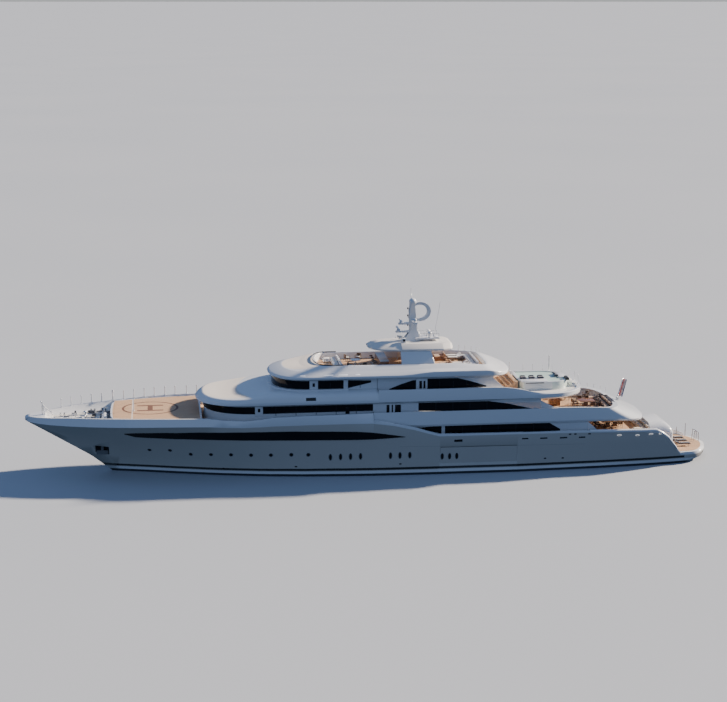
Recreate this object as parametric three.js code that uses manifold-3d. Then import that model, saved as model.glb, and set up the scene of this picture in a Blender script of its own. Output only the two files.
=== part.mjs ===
// Motor yacht, five decks, twin screw, as a 1:2 scale model afloat.
// X runs forward, Y to port and Z up. The origin is amidships on the waterline.
// Every length below is in metres of the full-size ship; the last step scales it.
import * as THREE from "three";
import { mergeVertices, mergeGeometries } from "three/addons/utils/BufferGeometryUtils.js";
import Module from "manifold-3d";

const wasm = await Module();
wasm.setup();

const modelScale = 0.5;
const unit = 1000 * modelScale; // millimetres of model for one metre of ship

// Heights of the decks above the waterline
const platformZ = 1.3;
const mainDeckZ = 3.4;
const upperDeckZ = 5.9;
const bridgeDeckZ = 8.6;
const sunDeckZ = 11.25;
const hardtopZ = 13.3;
const hardtopTopZ = 14.0;

// Lengthwise places
const bowX = 38.5;
const sternX = -38.5;
const stemWaterX = 29.1;
const sternSweepX = -34.5;
const keelZ = -3.9;
const deckStepX = 0.59; // the fore deck's well ends here, and the main deck's begins

// Fits
const seat = 0.0006; // 0.3 mm on the model between two pieces that rest on each other
const running = 0.012; // 6 mm on the model round a piece that moves
const pinFit = 0.0012; // 0.6 mm on the model round a pin in its bush
const shaftSides = 32;

const white = 0xe9ecf0;
const cream = 0xe8e0d4;
const teak = 0xc09468;
const glassBlack = 0x0b0e14;
const steel = 0xb9bec4;
const bronze = 0xa98548;
const antifouling = 0x15181f;
const cushion = 0xd9cdbb;
const wood = 0x7a4a28;
const paleGreen = 0x9fc0b4;
const dark = 0x22262b;

const yacht = new THREE.Group();
yacht.name = "motor_yacht";

// A position-only geometry with shared corners and no empty triangles
function tidy(geometry) {
  const bare = geometry.clone();
  bare.deleteAttribute("normal");
  bare.deleteAttribute("uv");
  const merged = mergeVertices(bare, 1e-5);
  const index = merged.index.array;
  const kept = [];
  for (let i = 0; i < index.length; i += 3) {
    const [a, b, c] = [index[i], index[i + 1], index[i + 2]];
    if (a !== b && b !== c && c !== a) {
      kept.push(a, b, c);
    }
  }
  merged.setIndex(kept);
  return merged;
}

function solidOf(geometry) {
  const merged = tidy(geometry);
  const mesh = new wasm.Mesh({
    numProp: 3,
    vertProperties: new Float32Array(merged.attributes.position.array),
    triVerts: new Uint32Array(merged.index.array),
  });
  return new wasm.Manifold(mesh);
}

function geometryOf(solid) {
  const mesh = solid.getMesh();
  const geometry = new THREE.BufferGeometry();
  geometry.setAttribute("position", new THREE.BufferAttribute(mesh.vertProperties, 3));
  geometry.setIndex(new THREE.BufferAttribute(mesh.triVerts, 1));
  return geometry;
}

function volumeOf(geometry) {
  const p = geometry.attributes.position;
  const index = geometry.index.array;
  const a = new THREE.Vector3();
  const b = new THREE.Vector3();
  const c = new THREE.Vector3();
  let sum = 0;
  for (let i = 0; i < index.length; i += 3) {
    a.fromBufferAttribute(p, index[i]);
    b.fromBufferAttribute(p, index[i + 1]);
    c.fromBufferAttribute(p, index[i + 2]);
    sum += a.dot(b.cross(c));
  }
  return sum / 6;
}

function facingOut(geometry) {
  const shared = tidy(geometry);
  if (volumeOf(shared) < 0) {
    const index = shared.index.array;
    for (let i = 0; i < index.length; i += 3) {
      [index[i], index[i + 1]] = [index[i + 1], index[i]];
    }
  }
  return shared;
}

// The same surface on the other side of the centreline
function mirrored(geometry) {
  const other = geometry.clone();
  other.scale(1, -1, 1);
  const index = other.index ? other.index.array : [];
  for (let i = 0; i < index.length; i += 3) {
    [index[i], index[i + 1]] = [index[i + 1], index[i]];
  }
  return other;
}

// A grid of points, row by row, closed round its columns or not, made into triangles
function gridTriangles(rows) {
  const positions = [];
  const index = [];
  const width = rows[0].length;
  for (const row of rows) {
    for (const point of row) {
      positions.push(point[0], point[1], point[2]);
    }
  }
  for (let j = 0; j + 1 < rows.length; j += 1) {
    for (let i = 0; i + 1 < width; i += 1) {
      const a = j * width + i;
      const b = a + 1;
      const c = a + width;
      const d = c + 1;
      index.push(a, b, d, a, d, c);
    }
  }
  const geometry = new THREE.BufferGeometry();
  geometry.setAttribute("position", new THREE.Float32BufferAttribute(positions, 3));
  geometry.setIndex(index);
  return geometry;
}

// A body alike on both sides of the centreline. Each row holds points of the port side
// from bow to stern, and the rows follow each other round the body.
function mirroredBody(rows) {
  const mirror = (point) => [point[0], -point[1], point[2]];
  const port = gridTriangles(rows);
  const starboard = mirrored(port);
  const across = (points) => gridTriangles([points.map(mirror), points]);
  const bottom = across(rows[0]);
  const top = across(rows[rows.length - 1].slice().reverse());
  const bow = across(rows.map((row) => row[0]).reverse());
  const stern = across(rows.map((row) => row[row.length - 1]));
  return facingOut(mergeGeometries([port, starboard, bottom, top, bow, stern]));
}

// A body through closed sections with the same number of corners, capped flat at both ends
function sectionBody(sections) {
  const rings = sections.map((ring) => [...ring, ring[0]]);
  const cap = (ring) => gridTriangles(capStrip(ring));
  const first = cap(sections[0].slice().reverse());
  const last = cap(sections[sections.length - 1]);
  return facingOut(mergeGeometries([gridTriangles(rings), first, last]));
}

// Two facing halves of a convex ring, as the two rows of a strip across it
function capStrip(ring) {
  const half = Math.ceil(ring.length / 2);
  const left = ring.slice(0, half);
  const right = ring.slice(half).reverse();
  while (right.length < left.length) {
    right.push(right[right.length - 1]);
  }
  return [left, right];
}

function box(x0, x1, y0, y1, z0, z1) {
  const geometry = new THREE.BoxGeometry(x1 - x0, y1 - y0, z1 - z0);
  geometry.translate((x0 + x1) / 2, (y0 + y1) / 2, (z0 + z1) / 2);
  return geometry;
}

// A round bar between two points, its radius changing from one end to the other
function bar(from, to, radiusFrom, radiusTo = radiusFrom, sides = 12) {
  const a = new THREE.Vector3(...from);
  const b = new THREE.Vector3(...to);
  const length = a.distanceTo(b);
  const geometry = new THREE.CylinderGeometry(radiusTo, radiusFrom, length, sides);
  const up = new THREE.Vector3(0, 1, 0);
  const turn = new THREE.Quaternion().setFromUnitVectors(up, b.clone().sub(a).normalize());
  geometry.applyQuaternion(turn);
  geometry.translate((a.x + b.x) / 2, (a.y + b.y) / 2, (a.z + b.z) / 2);
  return geometry;
}

function ball(x, y, z, radius, stretch = [1, 1, 1]) {
  const geometry = new THREE.SphereGeometry(radius, 16, 10);
  geometry.scale(...stretch);
  geometry.translate(x, y, z);
  return geometry;
}

function joined(...geometries) {
  let solid = solidOf(geometries[0]);
  for (const geometry of geometries.slice(1)) {
    solid = solid.add(solidOf(geometry));
  }
  return geometryOf(solid);
}

function cut(geometry, ...tools) {
  let solid = solidOf(geometry);
  for (const tool of tools) {
    solid = solid.subtract(solidOf(tool));
  }
  return geometryOf(solid);
}

function common(geometry, tool) {
  return geometryOf(solidOf(geometry).intersect(solidOf(tool)));
}

function toStarboard(geometry) {
  return facingOut(mirrored(geometry));
}

function add(name, geometry, color, finish = {}) {
  const { roughness = 0.35, metalness = 0 } = finish;
  const material = new THREE.MeshStandardMaterial({ color, roughness, metalness });
  const scaled = tidy(geometry);
  scaled.scale(unit, unit, unit);
  scaled.computeVertexNormals();
  const mesh = new THREE.Mesh(scaled, material);
  mesh.name = name;
  yacht.add(mesh);
  return mesh;
}

// Straight-line reading of a table of [x, value] pairs
function reading(table, x) {
  const rows = table.slice().sort((a, b) => a[0] - b[0]);
  if (x <= rows[0][0]) {
    return rows[0][1];
  }
  for (let i = 1; i < rows.length; i += 1) {
    if (x <= rows[i][0]) {
      const [x0, v0] = rows[i - 1];
      const [x1, v1] = rows[i];
      return v0 + ((v1 - v0) * (x - x0)) / (x1 - x0);
    }
  }
  return rows[rows.length - 1][1];
}

// Half of a deck outline from bow to stern as [x, y]: a superellipse nose, a side that may
// narrow aft, and a superellipse tail or a square end.
function halfOutline(shape) {
  const { fore, aft, half, nose = 3, tail = 0, halfAft = half } = shape;
  const { nosePower = 2.3, tailPower = 2.3, noseSteps = 8, tailSteps = 5, stops = [] } = shape;
  const points = [];
  for (let i = 0; i <= noseSteps; i += 1) {
    const angle = (i / noseSteps) * (Math.PI / 2);
    const x = fore - nose + nose * Math.cos(angle) ** (2 / nosePower);
    points.push([x, half * Math.sin(angle) ** (2 / nosePower)]);
  }
  const start = fore - nose;
  const end = aft + tail;
  const side = stops.filter((x) => x < start - 0.02 && x > end + 0.02).sort((a, b) => b - a);
  for (const x of side) {
    points.push([x, half + ((halfAft - half) * (start - x)) / (start - end)]);
  }
  points.push([end, halfAft]);
  for (let i = 1; i <= (tail > 0 ? tailSteps : 0); i += 1) {
    const angle = (i / tailSteps) * (Math.PI / 2);
    const x = end - tail * Math.sin(angle) ** (2 / tailPower);
    points.push([x, halfAft * Math.cos(angle) ** (2 / tailPower)]);
  }
  return points;
}

// One level of a deck body: an outline at a height that may follow x
function level(shape, height) {
  const heightAt = typeof height === "function" ? height : () => height;
  return halfOutline(shape).map(([x, y]) => [x, y, heightAt(x)]);
}

// Hull
// Columns: x, keel height, half-breadth at the waterline, half-breadth and height of the
// knuckle, half-breadth and height of the bulwark top, deck height
const stations = [
  [bowX, 6.0, 0.0, 0.0, 6.05, 0.0, 6.45, 6.45],
  [38.35, 5.88, 0.0, 0.42, 6.0, 0.3, 6.5, 6.5],
  [37.9, 5.6, 0.0, 0.95, 5.95, 0.8, 6.52, 6.52],
  [37.0, 5.08, 0.0, 1.72, 5.92, 1.52, 6.55, 6.55],
  [36.3, 4.67, 0.0, 2.14, 5.92, 1.94, 6.59, 6.59],
  [36.29, 4.66, 0.0, 2.15, 5.92, 1.95, 6.59, 5.96],
  [35.5, 4.2, 0.0, 2.62, 5.92, 2.38, 6.64, 5.95],
  [33.5, 3.02, 0.0, 3.55, 5.95, 3.28, 6.79, 5.9],
  [31.4, 1.76, 0.0, 4.38, 6.0, 4.08, 6.86, 5.9],
  [stemWaterX, 0.0, 0.05, 5.05, 6.05, 4.75, 6.92, 5.9],
  [28.2, -0.9, 0.32, 5.32, 6.08, 5.02, 6.95, 5.9],
  [27.0, -2.0, 0.66, 5.65, 6.12, 5.36, 6.98, 5.9],
  [25.0, -3.1, 1.25, 6.1, 6.18, 5.85, 7.04, 5.9],
  [22.0, -3.75, 2.2, 6.6, 6.25, 6.38, 7.08, 5.9],
  [18.6, -3.88, 3.2, 6.78, 6.22, 6.6, 7.08, 5.9],
  [17.0, keelZ, 3.62, 6.8, 6.12, 6.62, 6.86, 5.9],
  [14.8, keelZ, 4.12, 6.8, 6.02, 6.62, 6.7, 5.9],
  [13.0, keelZ, 4.5, 6.78, 6.05, 6.62, 6.8, 5.9],
  [11.6, keelZ, 4.75, 6.75, 6.1, 6.6, 7.02, 5.9],
  [8.0, keelZ, 5.25, 6.7, 6.12, 6.56, 7.1, 5.9],
  [3.0, keelZ, 5.68, 6.64, 6.12, 6.38, 7.12, 5.9],
  [0.6, keelZ, 5.82, 6.6, 6.08, 6.12, 7.12, 5.9],
  [deckStepX, keelZ, 5.82, 6.6, 6.05, 6.5, 6.5, mainDeckZ],
  [-1.6, keelZ, 5.9, 6.56, 5.75, 6.5, 6.02, mainDeckZ],
  [-3.9, keelZ, 5.94, 6.5, 5.2, 6.48, 5.5, mainDeckZ],
  [-5.6, keelZ, 5.96, 6.46, 4.7, 6.44, 4.95, mainDeckZ],
  [-6.7, keelZ, 5.96, 6.44, 4.4, 6.42, 4.66, mainDeckZ],
  [-9.5, -3.86, 5.96, 6.44, 4.4, 6.42, 4.62, mainDeckZ],
  [-15.5, -3.45, 5.96, 6.44, 4.4, 6.42, 4.6, mainDeckZ],
  [-20.0, -2.9, 5.72, 6.28, 4.35, 6.26, 4.55, mainDeckZ],
  [-25.0, -2.15, 5.4, 6.12, 4.25, 6.1, 4.45, mainDeckZ],
  [-29.5, -1.5, 5.0, 5.86, 4.1, 5.84, 4.32, mainDeckZ],
  [-31.4, -1.24, 4.82, 5.66, 3.93, 5.64, 4.28, mainDeckZ],
  [-32.2, -1.13, 4.72, 5.5, 3.6, 5.48, 3.85, 2.62],
  [-32.95, -1.02, 4.62, 5.28, 3.0, 5.26, 3.27, 1.9],
  [-33.6, -0.93, 4.52, 5.02, 2.2, 5.0, 2.45, platformZ],
  [-34.2, -0.86, 4.4, 4.8, 1.45, 4.78, 1.65, platformZ],
  [sternSweepX, -0.8, 4.32, 4.68, 1.05, 4.62, platformZ, platformZ],
  [-35.2, -0.3, 4.2, 4.55, 1.0, 4.5, platformZ, platformZ],
  [-35.8, 0.3, 4.2, 4.48, 1.0, 4.42, platformZ, platformZ],
  [-36.4, 0.42, 4.05, 4.3, 1.0, 4.25, platformZ, platformZ],
  [-37.2, 0.5, 3.3, 3.6, 1.02, 3.55, platformZ, platformZ],
  [-37.9, 0.62, 2.1, 2.42, 1.05, 2.36, platformZ, platformZ],
  [-38.3, 0.72, 0.9, 1.15, 1.05, 1.1, platformZ, platformZ],
  [sternX, 0.8, 0.0, 0.0, 1.05, 0.0, platformZ, platformZ],
];
const bilgeSteps = 5;
const sideSteps = 3;
const bulwarkWall = 0.28;

function hullSection(station) {
  const [x, keel, water, knuckle, knuckleZ, top, topZ, deckZ] = station;
  const points = [];
  const waterZ = Math.max(keel, 0);
  const fullness = 0.42 + 0.3 * THREE.MathUtils.smoothstep(-Math.abs(x + 4), -34, 0);
  for (let i = 0; i <= bilgeSteps; i += 1) {
    const angle = (i / bilgeSteps) * (Math.PI / 2);
    const y = water * Math.sin(angle) ** (2 * (1 - fullness));
    const z = waterZ + (keel - waterZ) * Math.cos(angle) ** (2 * (1 - fullness) + 0.1);
    points.push([x, y, z]);
  }
  const flare = 1 + 0.4 * THREE.MathUtils.smoothstep(x, 8, 32);
  for (let i = 1; i <= sideSteps; i += 1) {
    const t = i / sideSteps;
    const y = water + (knuckle - water) * t ** flare;
    points.push([x, y, waterZ + (knuckleZ - waterZ) * t]);
  }
  points.push([x, top, topZ]);
  const wall = Math.min(bulwarkWall, top * 0.5);
  const inner = topZ > deckZ + 0.02 ? top - wall : top;
  points.push([x, inner, topZ]);
  points.push([x, inner, Math.min(deckZ, topZ)]);
  return points;
}

function hullShape() {
  const sections = stations.map(hullSection);
  const rows = sections[0].map((_, j) => sections.map((section) => section[j]));
  return mirroredBody(rows);
}

// Hull fittings below the water, given for the port side
const propeller = { x: -29.4, y: 2.55, z: -2.55, radius: 1.05, hub: 0.24, blades: 5 };
const shaft = { fore: -18.6, radius: 0.12, boss: 0.26, bossEnd: -23.6, bracketX: -28.2 };
const rudder = { x: -32.2, y: 2.55, top: -1.22, foot: -3.4, fore: 0.62, aft: 1.3, stock: 0.15 };
const fin = { x: 3.5, y: 5.02, z: -2.68, span: 1.8, chord: 2.3, tip: 1.5, tilt: 40, stock: 0.14 };

// The garage in the hull has one door each side, hinged along its top edge
const garage = { fore: -6.8, aft: -15.4, low: 1.25, high: 3.15, inner: 1.2, skin: 5.8 };
const garageHinge = { y: 6.235, z: 3.03, pin: 0.025, reach: 0.09, gapAbove: 0.06 };

// The transom stands between the two stairs and holds the beach room behind its own door
const transom = { fore: -31.3, aft: -34.1, half: 3.4, top: 4.36 };
const beach = { fore: -30.6, half: 2.4, low: 1.45, high: 3.1, skin: 0.24 };
const beachHinge = { x: -34.02, z: 3.0, pin: 0.03, reach: 0.1, gapAbove: 0.08 };

function skeg() {
  const section = (x, half, foot, top) => [
    [x, half, foot],
    [x, -half, foot],
    [x, -half, top],
    [x, half, top],
  ];
  return sectionBody([
    section(-9, 0.25, keelZ, -2.6),
    section(-26, 0.14, -3.7, -1.4),
    section(-27.6, 0.1, -2.6, -1.2),
  ]);
}

function both(make) {
  const port = make();
  return [port, toStarboard(port)];
}

// A round bar of even thickness with enough sides to turn in a bore
function turned(from, to, radius) {
  return bar(from, to, radius, radius, shaftSides);
}

function shaftLine(radius, fore, aft) {
  return turned([fore, propeller.y, propeller.z], [aft, propeller.y, propeller.z], radius);
}

function finAxis() {
  const tilt = THREE.MathUtils.degToRad(fin.tilt);
  return [0, Math.cos(tilt), -Math.sin(tilt)];
}

// A point on the fin's turning axis, a distance out from the hull
function finPoint(distance) {
  const [, ay, az] = finAxis();
  return [fin.x, fin.y + ay * distance, fin.z + az * distance];
}

const bulb = ball(28.2, 0, -2.3, 1, [3.1, 0.85, 1.05]);
const shaftBosses = both(() => shaftLine(shaft.boss, -16, shaft.bossEnd));
const hullWhole = joined(hullShape(), bulb, skeg(), ...shaftBosses);
const garageRoom = box(garage.aft, garage.fore, garage.inner, 8, garage.low, garage.high);
const garagePin = (radius, fit) =>
  bar(
    [garage.aft - garageHinge.reach - fit, garageHinge.y, garageHinge.z],
    [garage.fore + garageHinge.reach + fit, garageHinge.y, garageHinge.z],
    radius,
  );
// Long window in the side of the hull: x, low edge, high edge
const hullPane = [
  [27.65, 5.14, 5.2],
  [26.4, 4.75, 5.32],
  [24.0, 4.66, 5.42],
  [19.5, 4.57, 5.5],
  [14.0, 4.45, 5.47],
  [9.55, 4.36, 5.42],
  [2.6, 4.25, 5.2],
  [0.85, 4.25, 5.05],
  [-0.03, 4.29, 4.93],
  [-1.8, 4.38, 4.65],
  [-2.89, 4.43, 4.46],
];
const hullGlassThick = 0.05;
const hullGlass = () => {
  const blank = sectionBody(
    hullPane.map(([x, low, high]) => [
      [x, 3.5, low],
      [x, 8, low],
      [x, 8, high],
      [x, 3.5, high],
    ]),
  );
  const outer = hullWhole.clone().translate(0, hullGlassThick, 0);
  const inner = hullWhole.clone().translate(0, seat * 2, 0);
  return cut(common(outer, blank), inner);
};
const anchorPocket = box(29.4, 30.9, 0.55, 6, 2.05, 3.15);
const thrusterTunnel = bar([22.5, -3, -2.3], [22.5, 3, -2.3], 0.5, 0.5, 20);
const rudderTrunk = () => {
  const [from, to] = [0, -1.4].map((z) => [rudder.x, rudder.y, z]);
  return turned(from, to, rudder.stock + pinFit);
};
const beachRoom = box(-40, beach.fore, -beach.half, beach.half, beach.low, beach.high);
const hull = cut(
  hullWhole,
  ...both(() => garageRoom),
  ...both(() => garagePin(garageHinge.pin + pinFit, pinFit)),
  ...both(() => shaftLine(shaft.radius + pinFit, shaft.fore + pinFit, -24)),
  ...both(rudderTrunk),
  ...both(() => turned(finPoint(-0.6), finPoint(0.3), fin.stock + pinFit)),
  ...both(() => anchorPocket),
  thrusterTunnel,
  beachRoom,
);

// The hull is welded up from blocks, from the bow aft: name, fore end, aft end
const garageBlockAft = -16;
const hullBlocks = [
  ["bow", 39, 16],
  ["fore", 16 - seat, deckStepX],
  ["midship", deckStepX - seat, garageBlockAft],
  ["stern", garageBlockAft - seat, -39],
];
for (const [block, fore, aft] of hullBlocks) {
  add(`hull_${block}`, common(hull, box(aft, fore, -8, 8, -5, 9)), 0xd3d9e0, { roughness: 0.25 });
}

for (const side of ["port", "starboard"]) {
  const placed = (geometry) => (side === "port" ? geometry : toStarboard(geometry));

  const doorBlank = box(
    garage.aft + running,
    garage.fore - running,
    garage.skin,
    8,
    garage.low + running,
    garage.high - garageHinge.gapAbove,
  );
  const door = joined(common(hullWhole, doorBlank), garagePin(garageHinge.pin, 0));
  add(`garage_door_${side}`, placed(door), 0xd3d9e0, { roughness: 0.25 });
  add(`hull_glass_${side}`, placed(hullGlass()), glassBlack, { roughness: 0.08 });

  // Propeller with its shaft
  const blade = () => {
    const shape = new THREE.Shape();
    const outer = propeller.radius;
    shape.moveTo(-0.1, propeller.hub * 0.6);
    shape.quadraticCurveTo(-0.52, outer * 0.62, -0.12, outer * 0.97);
    shape.quadraticCurveTo(0.12, outer * 1.01, 0.3, outer * 0.86);
    shape.quadraticCurveTo(0.5, outer * 0.5, 0.1, propeller.hub * 0.6);
    const depth = 0.05;
    const plate = new THREE.ExtrudeGeometry(shape, { depth, bevelEnabled: false, curveSegments: 5 });
    plate.translate(0, 0, -depth / 2);
    plate.rotateY(THREE.MathUtils.degToRad(-58));
    return plate;
  };
  const blades = [];
  for (let i = 0; i < propeller.blades; i += 1) {
    const placedBlade = blade();
    placedBlade.rotateX((i * 2 * Math.PI) / propeller.blades);
    placedBlade.translate(propeller.x, propeller.y, propeller.z);
    blades.push(placedBlade);
  }
  const hub = bar(
    [propeller.x + 0.35, propeller.y, propeller.z],
    [propeller.x - 0.35, propeller.y, propeller.z],
    propeller.hub,
    propeller.hub * 0.85,
    20,
  );
  const cone = bar(
    [propeller.x - 0.34, propeller.y, propeller.z],
    [propeller.x - 0.7, propeller.y, propeller.z],
    propeller.hub * 0.85,
    0.04,
    20,
  );
  const screw = joined(shaftLine(shaft.radius, shaft.fore, propeller.x), hub, cone, ...blades);
  add(`propeller_${side}`, placed(screw), bronze, { roughness: 0.3, metalness: 1 });

  // Bracket that holds the aft end of the shaft
  const barrel = shaftLine(shaft.radius * 1.9, shaft.bracketX + 0.35, shaft.bracketX - 0.35);
  const strut = (y) => {
    const from = [propeller.y, propeller.z];
    const half = 0.22;
    const ring = ([cy, cz], grow) => [
      [shaft.bracketX + half * grow, cy, cz],
      [shaft.bracketX, cy + 0.06, cz],
      [shaft.bracketX - half * grow, cy, cz],
      [shaft.bracketX, cy - 0.06, cz],
    ];
    return sectionBody([ring(from, 1), ring([y, -0.6], 1.3)]);
  };
  const bracketWhole = joined(barrel, strut(propeller.y + 0.75), strut(propeller.y - 0.75));
  const bracket = cut(bracketWhole, shaftLine(shaft.radius + pinFit, -27, -29.2), hullWhole);
  bracket.translate(0, 0, -seat);
  add(`shaft_bracket_${side}`, placed(bracket), antifouling, { roughness: 0.5 });

  // Rudder, turning on its stock
  const rudderRing = (z, scale) => [
    [rudder.x + rudder.fore * scale, rudder.y, z],
    [rudder.x + rudder.fore * scale * 0.55, rudder.y + 0.17 * scale, z],
    [rudder.x - rudder.aft * scale * 0.4, rudder.y + 0.13 * scale, z],
    [rudder.x - rudder.aft * scale, rudder.y + 0.02, z],
    [rudder.x - rudder.aft * scale, rudder.y - 0.02, z],
    [rudder.x - rudder.aft * scale * 0.4, rudder.y - 0.13 * scale, z],
    [rudder.x + rudder.fore * scale * 0.55, rudder.y - 0.17 * scale, z],
    [rudder.x + rudder.fore * scale, rudder.y - 0.001, z],
  ];
  const blank = sectionBody([rudderRing(rudder.foot, 0.8), rudderRing(rudder.top, 1)]);
  const stock = turned(
    [rudder.x, rudder.y, rudder.top - 0.2],
    [rudder.x, rudder.y, -pinFit],
    rudder.stock,
  );
  add(`rudder_${side}`, placed(joined(blank, stock)), antifouling, { roughness: 0.5 });

  // Stabiliser fin, turning on a stock that leans out and down from the bilge
  const finRing = (distance, chord, thick) => {
    const [x, y, z] = finPoint(distance);
    const [, ay, az] = finAxis();
    const corner = (along, across) => [x + along, y - az * across, z + ay * across];
    return [
      corner(chord * 0.35, 0),
      corner(chord * 0.1, thick),
      corner(-chord * 0.65, 0.02),
      corner(-chord * 0.65, -0.02),
      corner(chord * 0.1, -thick),
    ];
  };
  const finBody = sectionBody([finRing(0.08, fin.chord, 0.17), finRing(fin.span, fin.tip, 0.1)]);
  const finStock = turned(finPoint(-0.6 + pinFit), finPoint(0.3), fin.stock);
  add(`stabiliser_${side}`, placed(joined(finBody, finStock)), antifouling, { roughness: 0.5 });

  // Anchor stowed in its pocket
  const flukes = box(29.5, 30.8, 0.62, 0.95, 2.05 + seat, 2.5);
  const shank = box(30.0, 30.3, 0.7, 0.85, 2.3, 3.0);
  add(`anchor_${side}`, placed(joined(flukes, shank)), dark, { roughness: 0.6, metalness: 0.6 });
}

// Transom with the beach room and its door
const transomShape = (shift, half = transom.half) => ({
  fore: transom.fore,
  aft: transom.aft + shift,
  half,
  nose: 0.01,
  noseSteps: 1,
  tail: 0.9,
  tailPower: 6,
  tailSteps: 7,
});
const transomBody = mirroredBody([
  level(transomShape(0), 0.6),
  level(transomShape(0), 3.3),
  level(transomShape(0.1, 3.34), 3.6),
  level(transomShape(0.3, 3.1), 3.92),
  level(transomShape(0.6, 2.7), 4.18),
  level(transomShape(1.0, 2.1), transom.top),
]);
const beachPin = (radius, fit) => {
  const reach = beach.half + beachHinge.reach + fit;
  return bar([beachHinge.x, -reach, beachHinge.z], [beachHinge.x, reach, beachHinge.z], radius);
};
const transomCut = cut(transomBody, hullWhole, beachRoom, beachPin(beachHinge.pin + pinFit, pinFit));
transomCut.translate(0, 0, seat);
add("transom", transomCut, white, { roughness: 0.25 });
const beachBlank = box(
  -40,
  transom.aft + beach.skin,
  -beach.half + running,
  beach.half - running,
  beach.low + running,
  beach.high - beachHinge.gapAbove,
);
const beachDoor = joined(common(transomBody, beachBlank), beachPin(beachHinge.pin, 0));
beachDoor.translate(0, 0, seat);
add("transom_door", beachDoor, white, { roughness: 0.25 });

// Main deck house with the saloon behind its sliding doors
const slidingDoor = { width: 1.15, height: 1.8, thick: 0.07, lap: 0.1, depth: 3.2, sill: 0.06 };

function deckHouse(shape, low, high, inset) {
  return mirroredBody([
    level(shape, low),
    level(shape, high - 0.35),
    level({ ...shape, half: shape.half - inset, halfAft: (shape.halfAft ?? shape.half) - inset }, high),
  ]);
}

function saloon(aft, low) {
  const roomHalf = 3.2;
  const floor = low + slidingDoor.sill;
  const room = box(aft + 0.35, aft + slidingDoor.depth, -roomHalf, roomHalf, floor, low + 1.85);
  const doorway = box(
    aft - 0.2,
    aft + 0.6,
    -slidingDoor.width,
    slidingDoor.width,
    floor,
    low + slidingDoor.height,
  );
  return [room, doorway];
}

// Plates that carry both sides of a house on aft: columns are x, low edge, high edge
function sideWings(y, table) {
  const thick = 0.25;
  return both(() =>
    sectionBody(
      table.map(([x, low, high]) => [
        [x, y - thick, low],
        [x, y, low],
        [x, y, high],
        [x, y - thick, high],
      ]),
    ),
  );
}

function slidingLeaves(deck, aft, low) {
  for (const side of ["port", "starboard"]) {
    const leaf = box(
      aft - running - slidingDoor.thick,
      aft - running,
      0.01,
      slidingDoor.width + slidingDoor.lap,
      low + running,
      low + slidingDoor.height + slidingDoor.lap,
    );
    const shoe = box(aft - running - slidingDoor.thick, aft - running, 0.2, 1.0, low + seat, low + 0.1);
    const body = joined(leaf, shoe);
    add(`${deck}_door_${side}`, side === "port" ? body : toStarboard(body), glassBlack, { roughness: 0.1 });
  }
}

const mainHouse = { fore: 0.58, aft: -23.6, half: 5.3, nose: 0.01, noseSteps: 1 };
const mainHouseBody = deckHouse(mainHouse, mainDeckZ + seat, 5.4 - seat, 0.02);
add("main_deck_house", cut(mainHouseBody, ...saloon(mainHouse.aft, mainDeckZ)), white);
slidingLeaves("main_deck", mainHouse.aft, mainDeckZ);

// A pane that follows the side of a deck house: columns are x, low edge, high edge
function pane(table, half, thick = 0.06) {
  const sections = table.map(([x, low, high]) => [
    [x, half + seat, low],
    [x, half + seat + thick, low],
    [x, half + seat + thick, high],
    [x, half + seat, high],
  ]);
  return sectionBody(sections);
}

const mainPane = [
  [-4.1, 4.95, 5.05],
  [-5.6, 4.6, 5.25],
  [-7.5, 4.35, 5.3],
  [-19.2, 4.35, 5.3],
  [-20.4, 4.4, 4.6],
];

// Upper deck: the shell with its bulwark, from the end of the high hull to the stern
const upperShell = {
  fore: 4,
  aft: -30.6,
  half: 6.12,
  halfAft: 5.55,
  nose: 0.01,
  noseSteps: 1,
  tail: 3.4,
  tailPower: 2.8,
  tailSteps: 7,
  stops: [0.5, -4, -8, -14, -19, -22, -24.5],
};
const bulwarkTop = [
  [0.6, 7.12],
  [-19, 7.04],
  [-22, 7.0],
  [-24.5, 6.92],
  [-26.5, 6.8],
  [-27.7, 6.7],
];
const shellLow = 5.4;
const upperShellFore = 0.55;
const narrower = (shape, by) => ({
  ...shape,
  half: shape.half - by,
  halfAft: (shape.halfAft ?? shape.half) - by,
});
const shorter = (shape, by) => ({ ...narrower(shape, by), aft: shape.aft + by });
const upperTopZ = (x) => reading(bulwarkTop, x);
const lipZ = (x) => shellLow - 0.2 * THREE.MathUtils.smoothstep(-x, 27, 30.6);
const lipHigh = 0.22;

// The stern of this deck slopes: 0 is its lower edge and 1 the rim round the deck
const shellAt = (rise) => ({ ...upperShell, aft: upperShell.aft + 2.9 * rise, tail: 3.4 - 0.8 * rise });
const sideZ = (rise) => (x) => {
  const low = lipZ(x) + lipHigh;
  return low + (upperTopZ(x) - low) * rise;
};
const upperTray = mirroredBody([
  level(narrower(shellAt(0), 0.12), lipZ),
  level(shellAt(0), sideZ(0)),
  level(shellAt(0.45), sideZ(0.42)),
  level(narrower(shellAt(1), 0.05), upperTopZ),
  level(shorter(shellAt(1), 0.16), upperTopZ),
  level(shorter(shellAt(1), 0.16), upperDeckZ),
]);
add("upper_deck", common(upperTray, box(-50, upperShellFore, -10, 10, 0, 20)), white);

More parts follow.
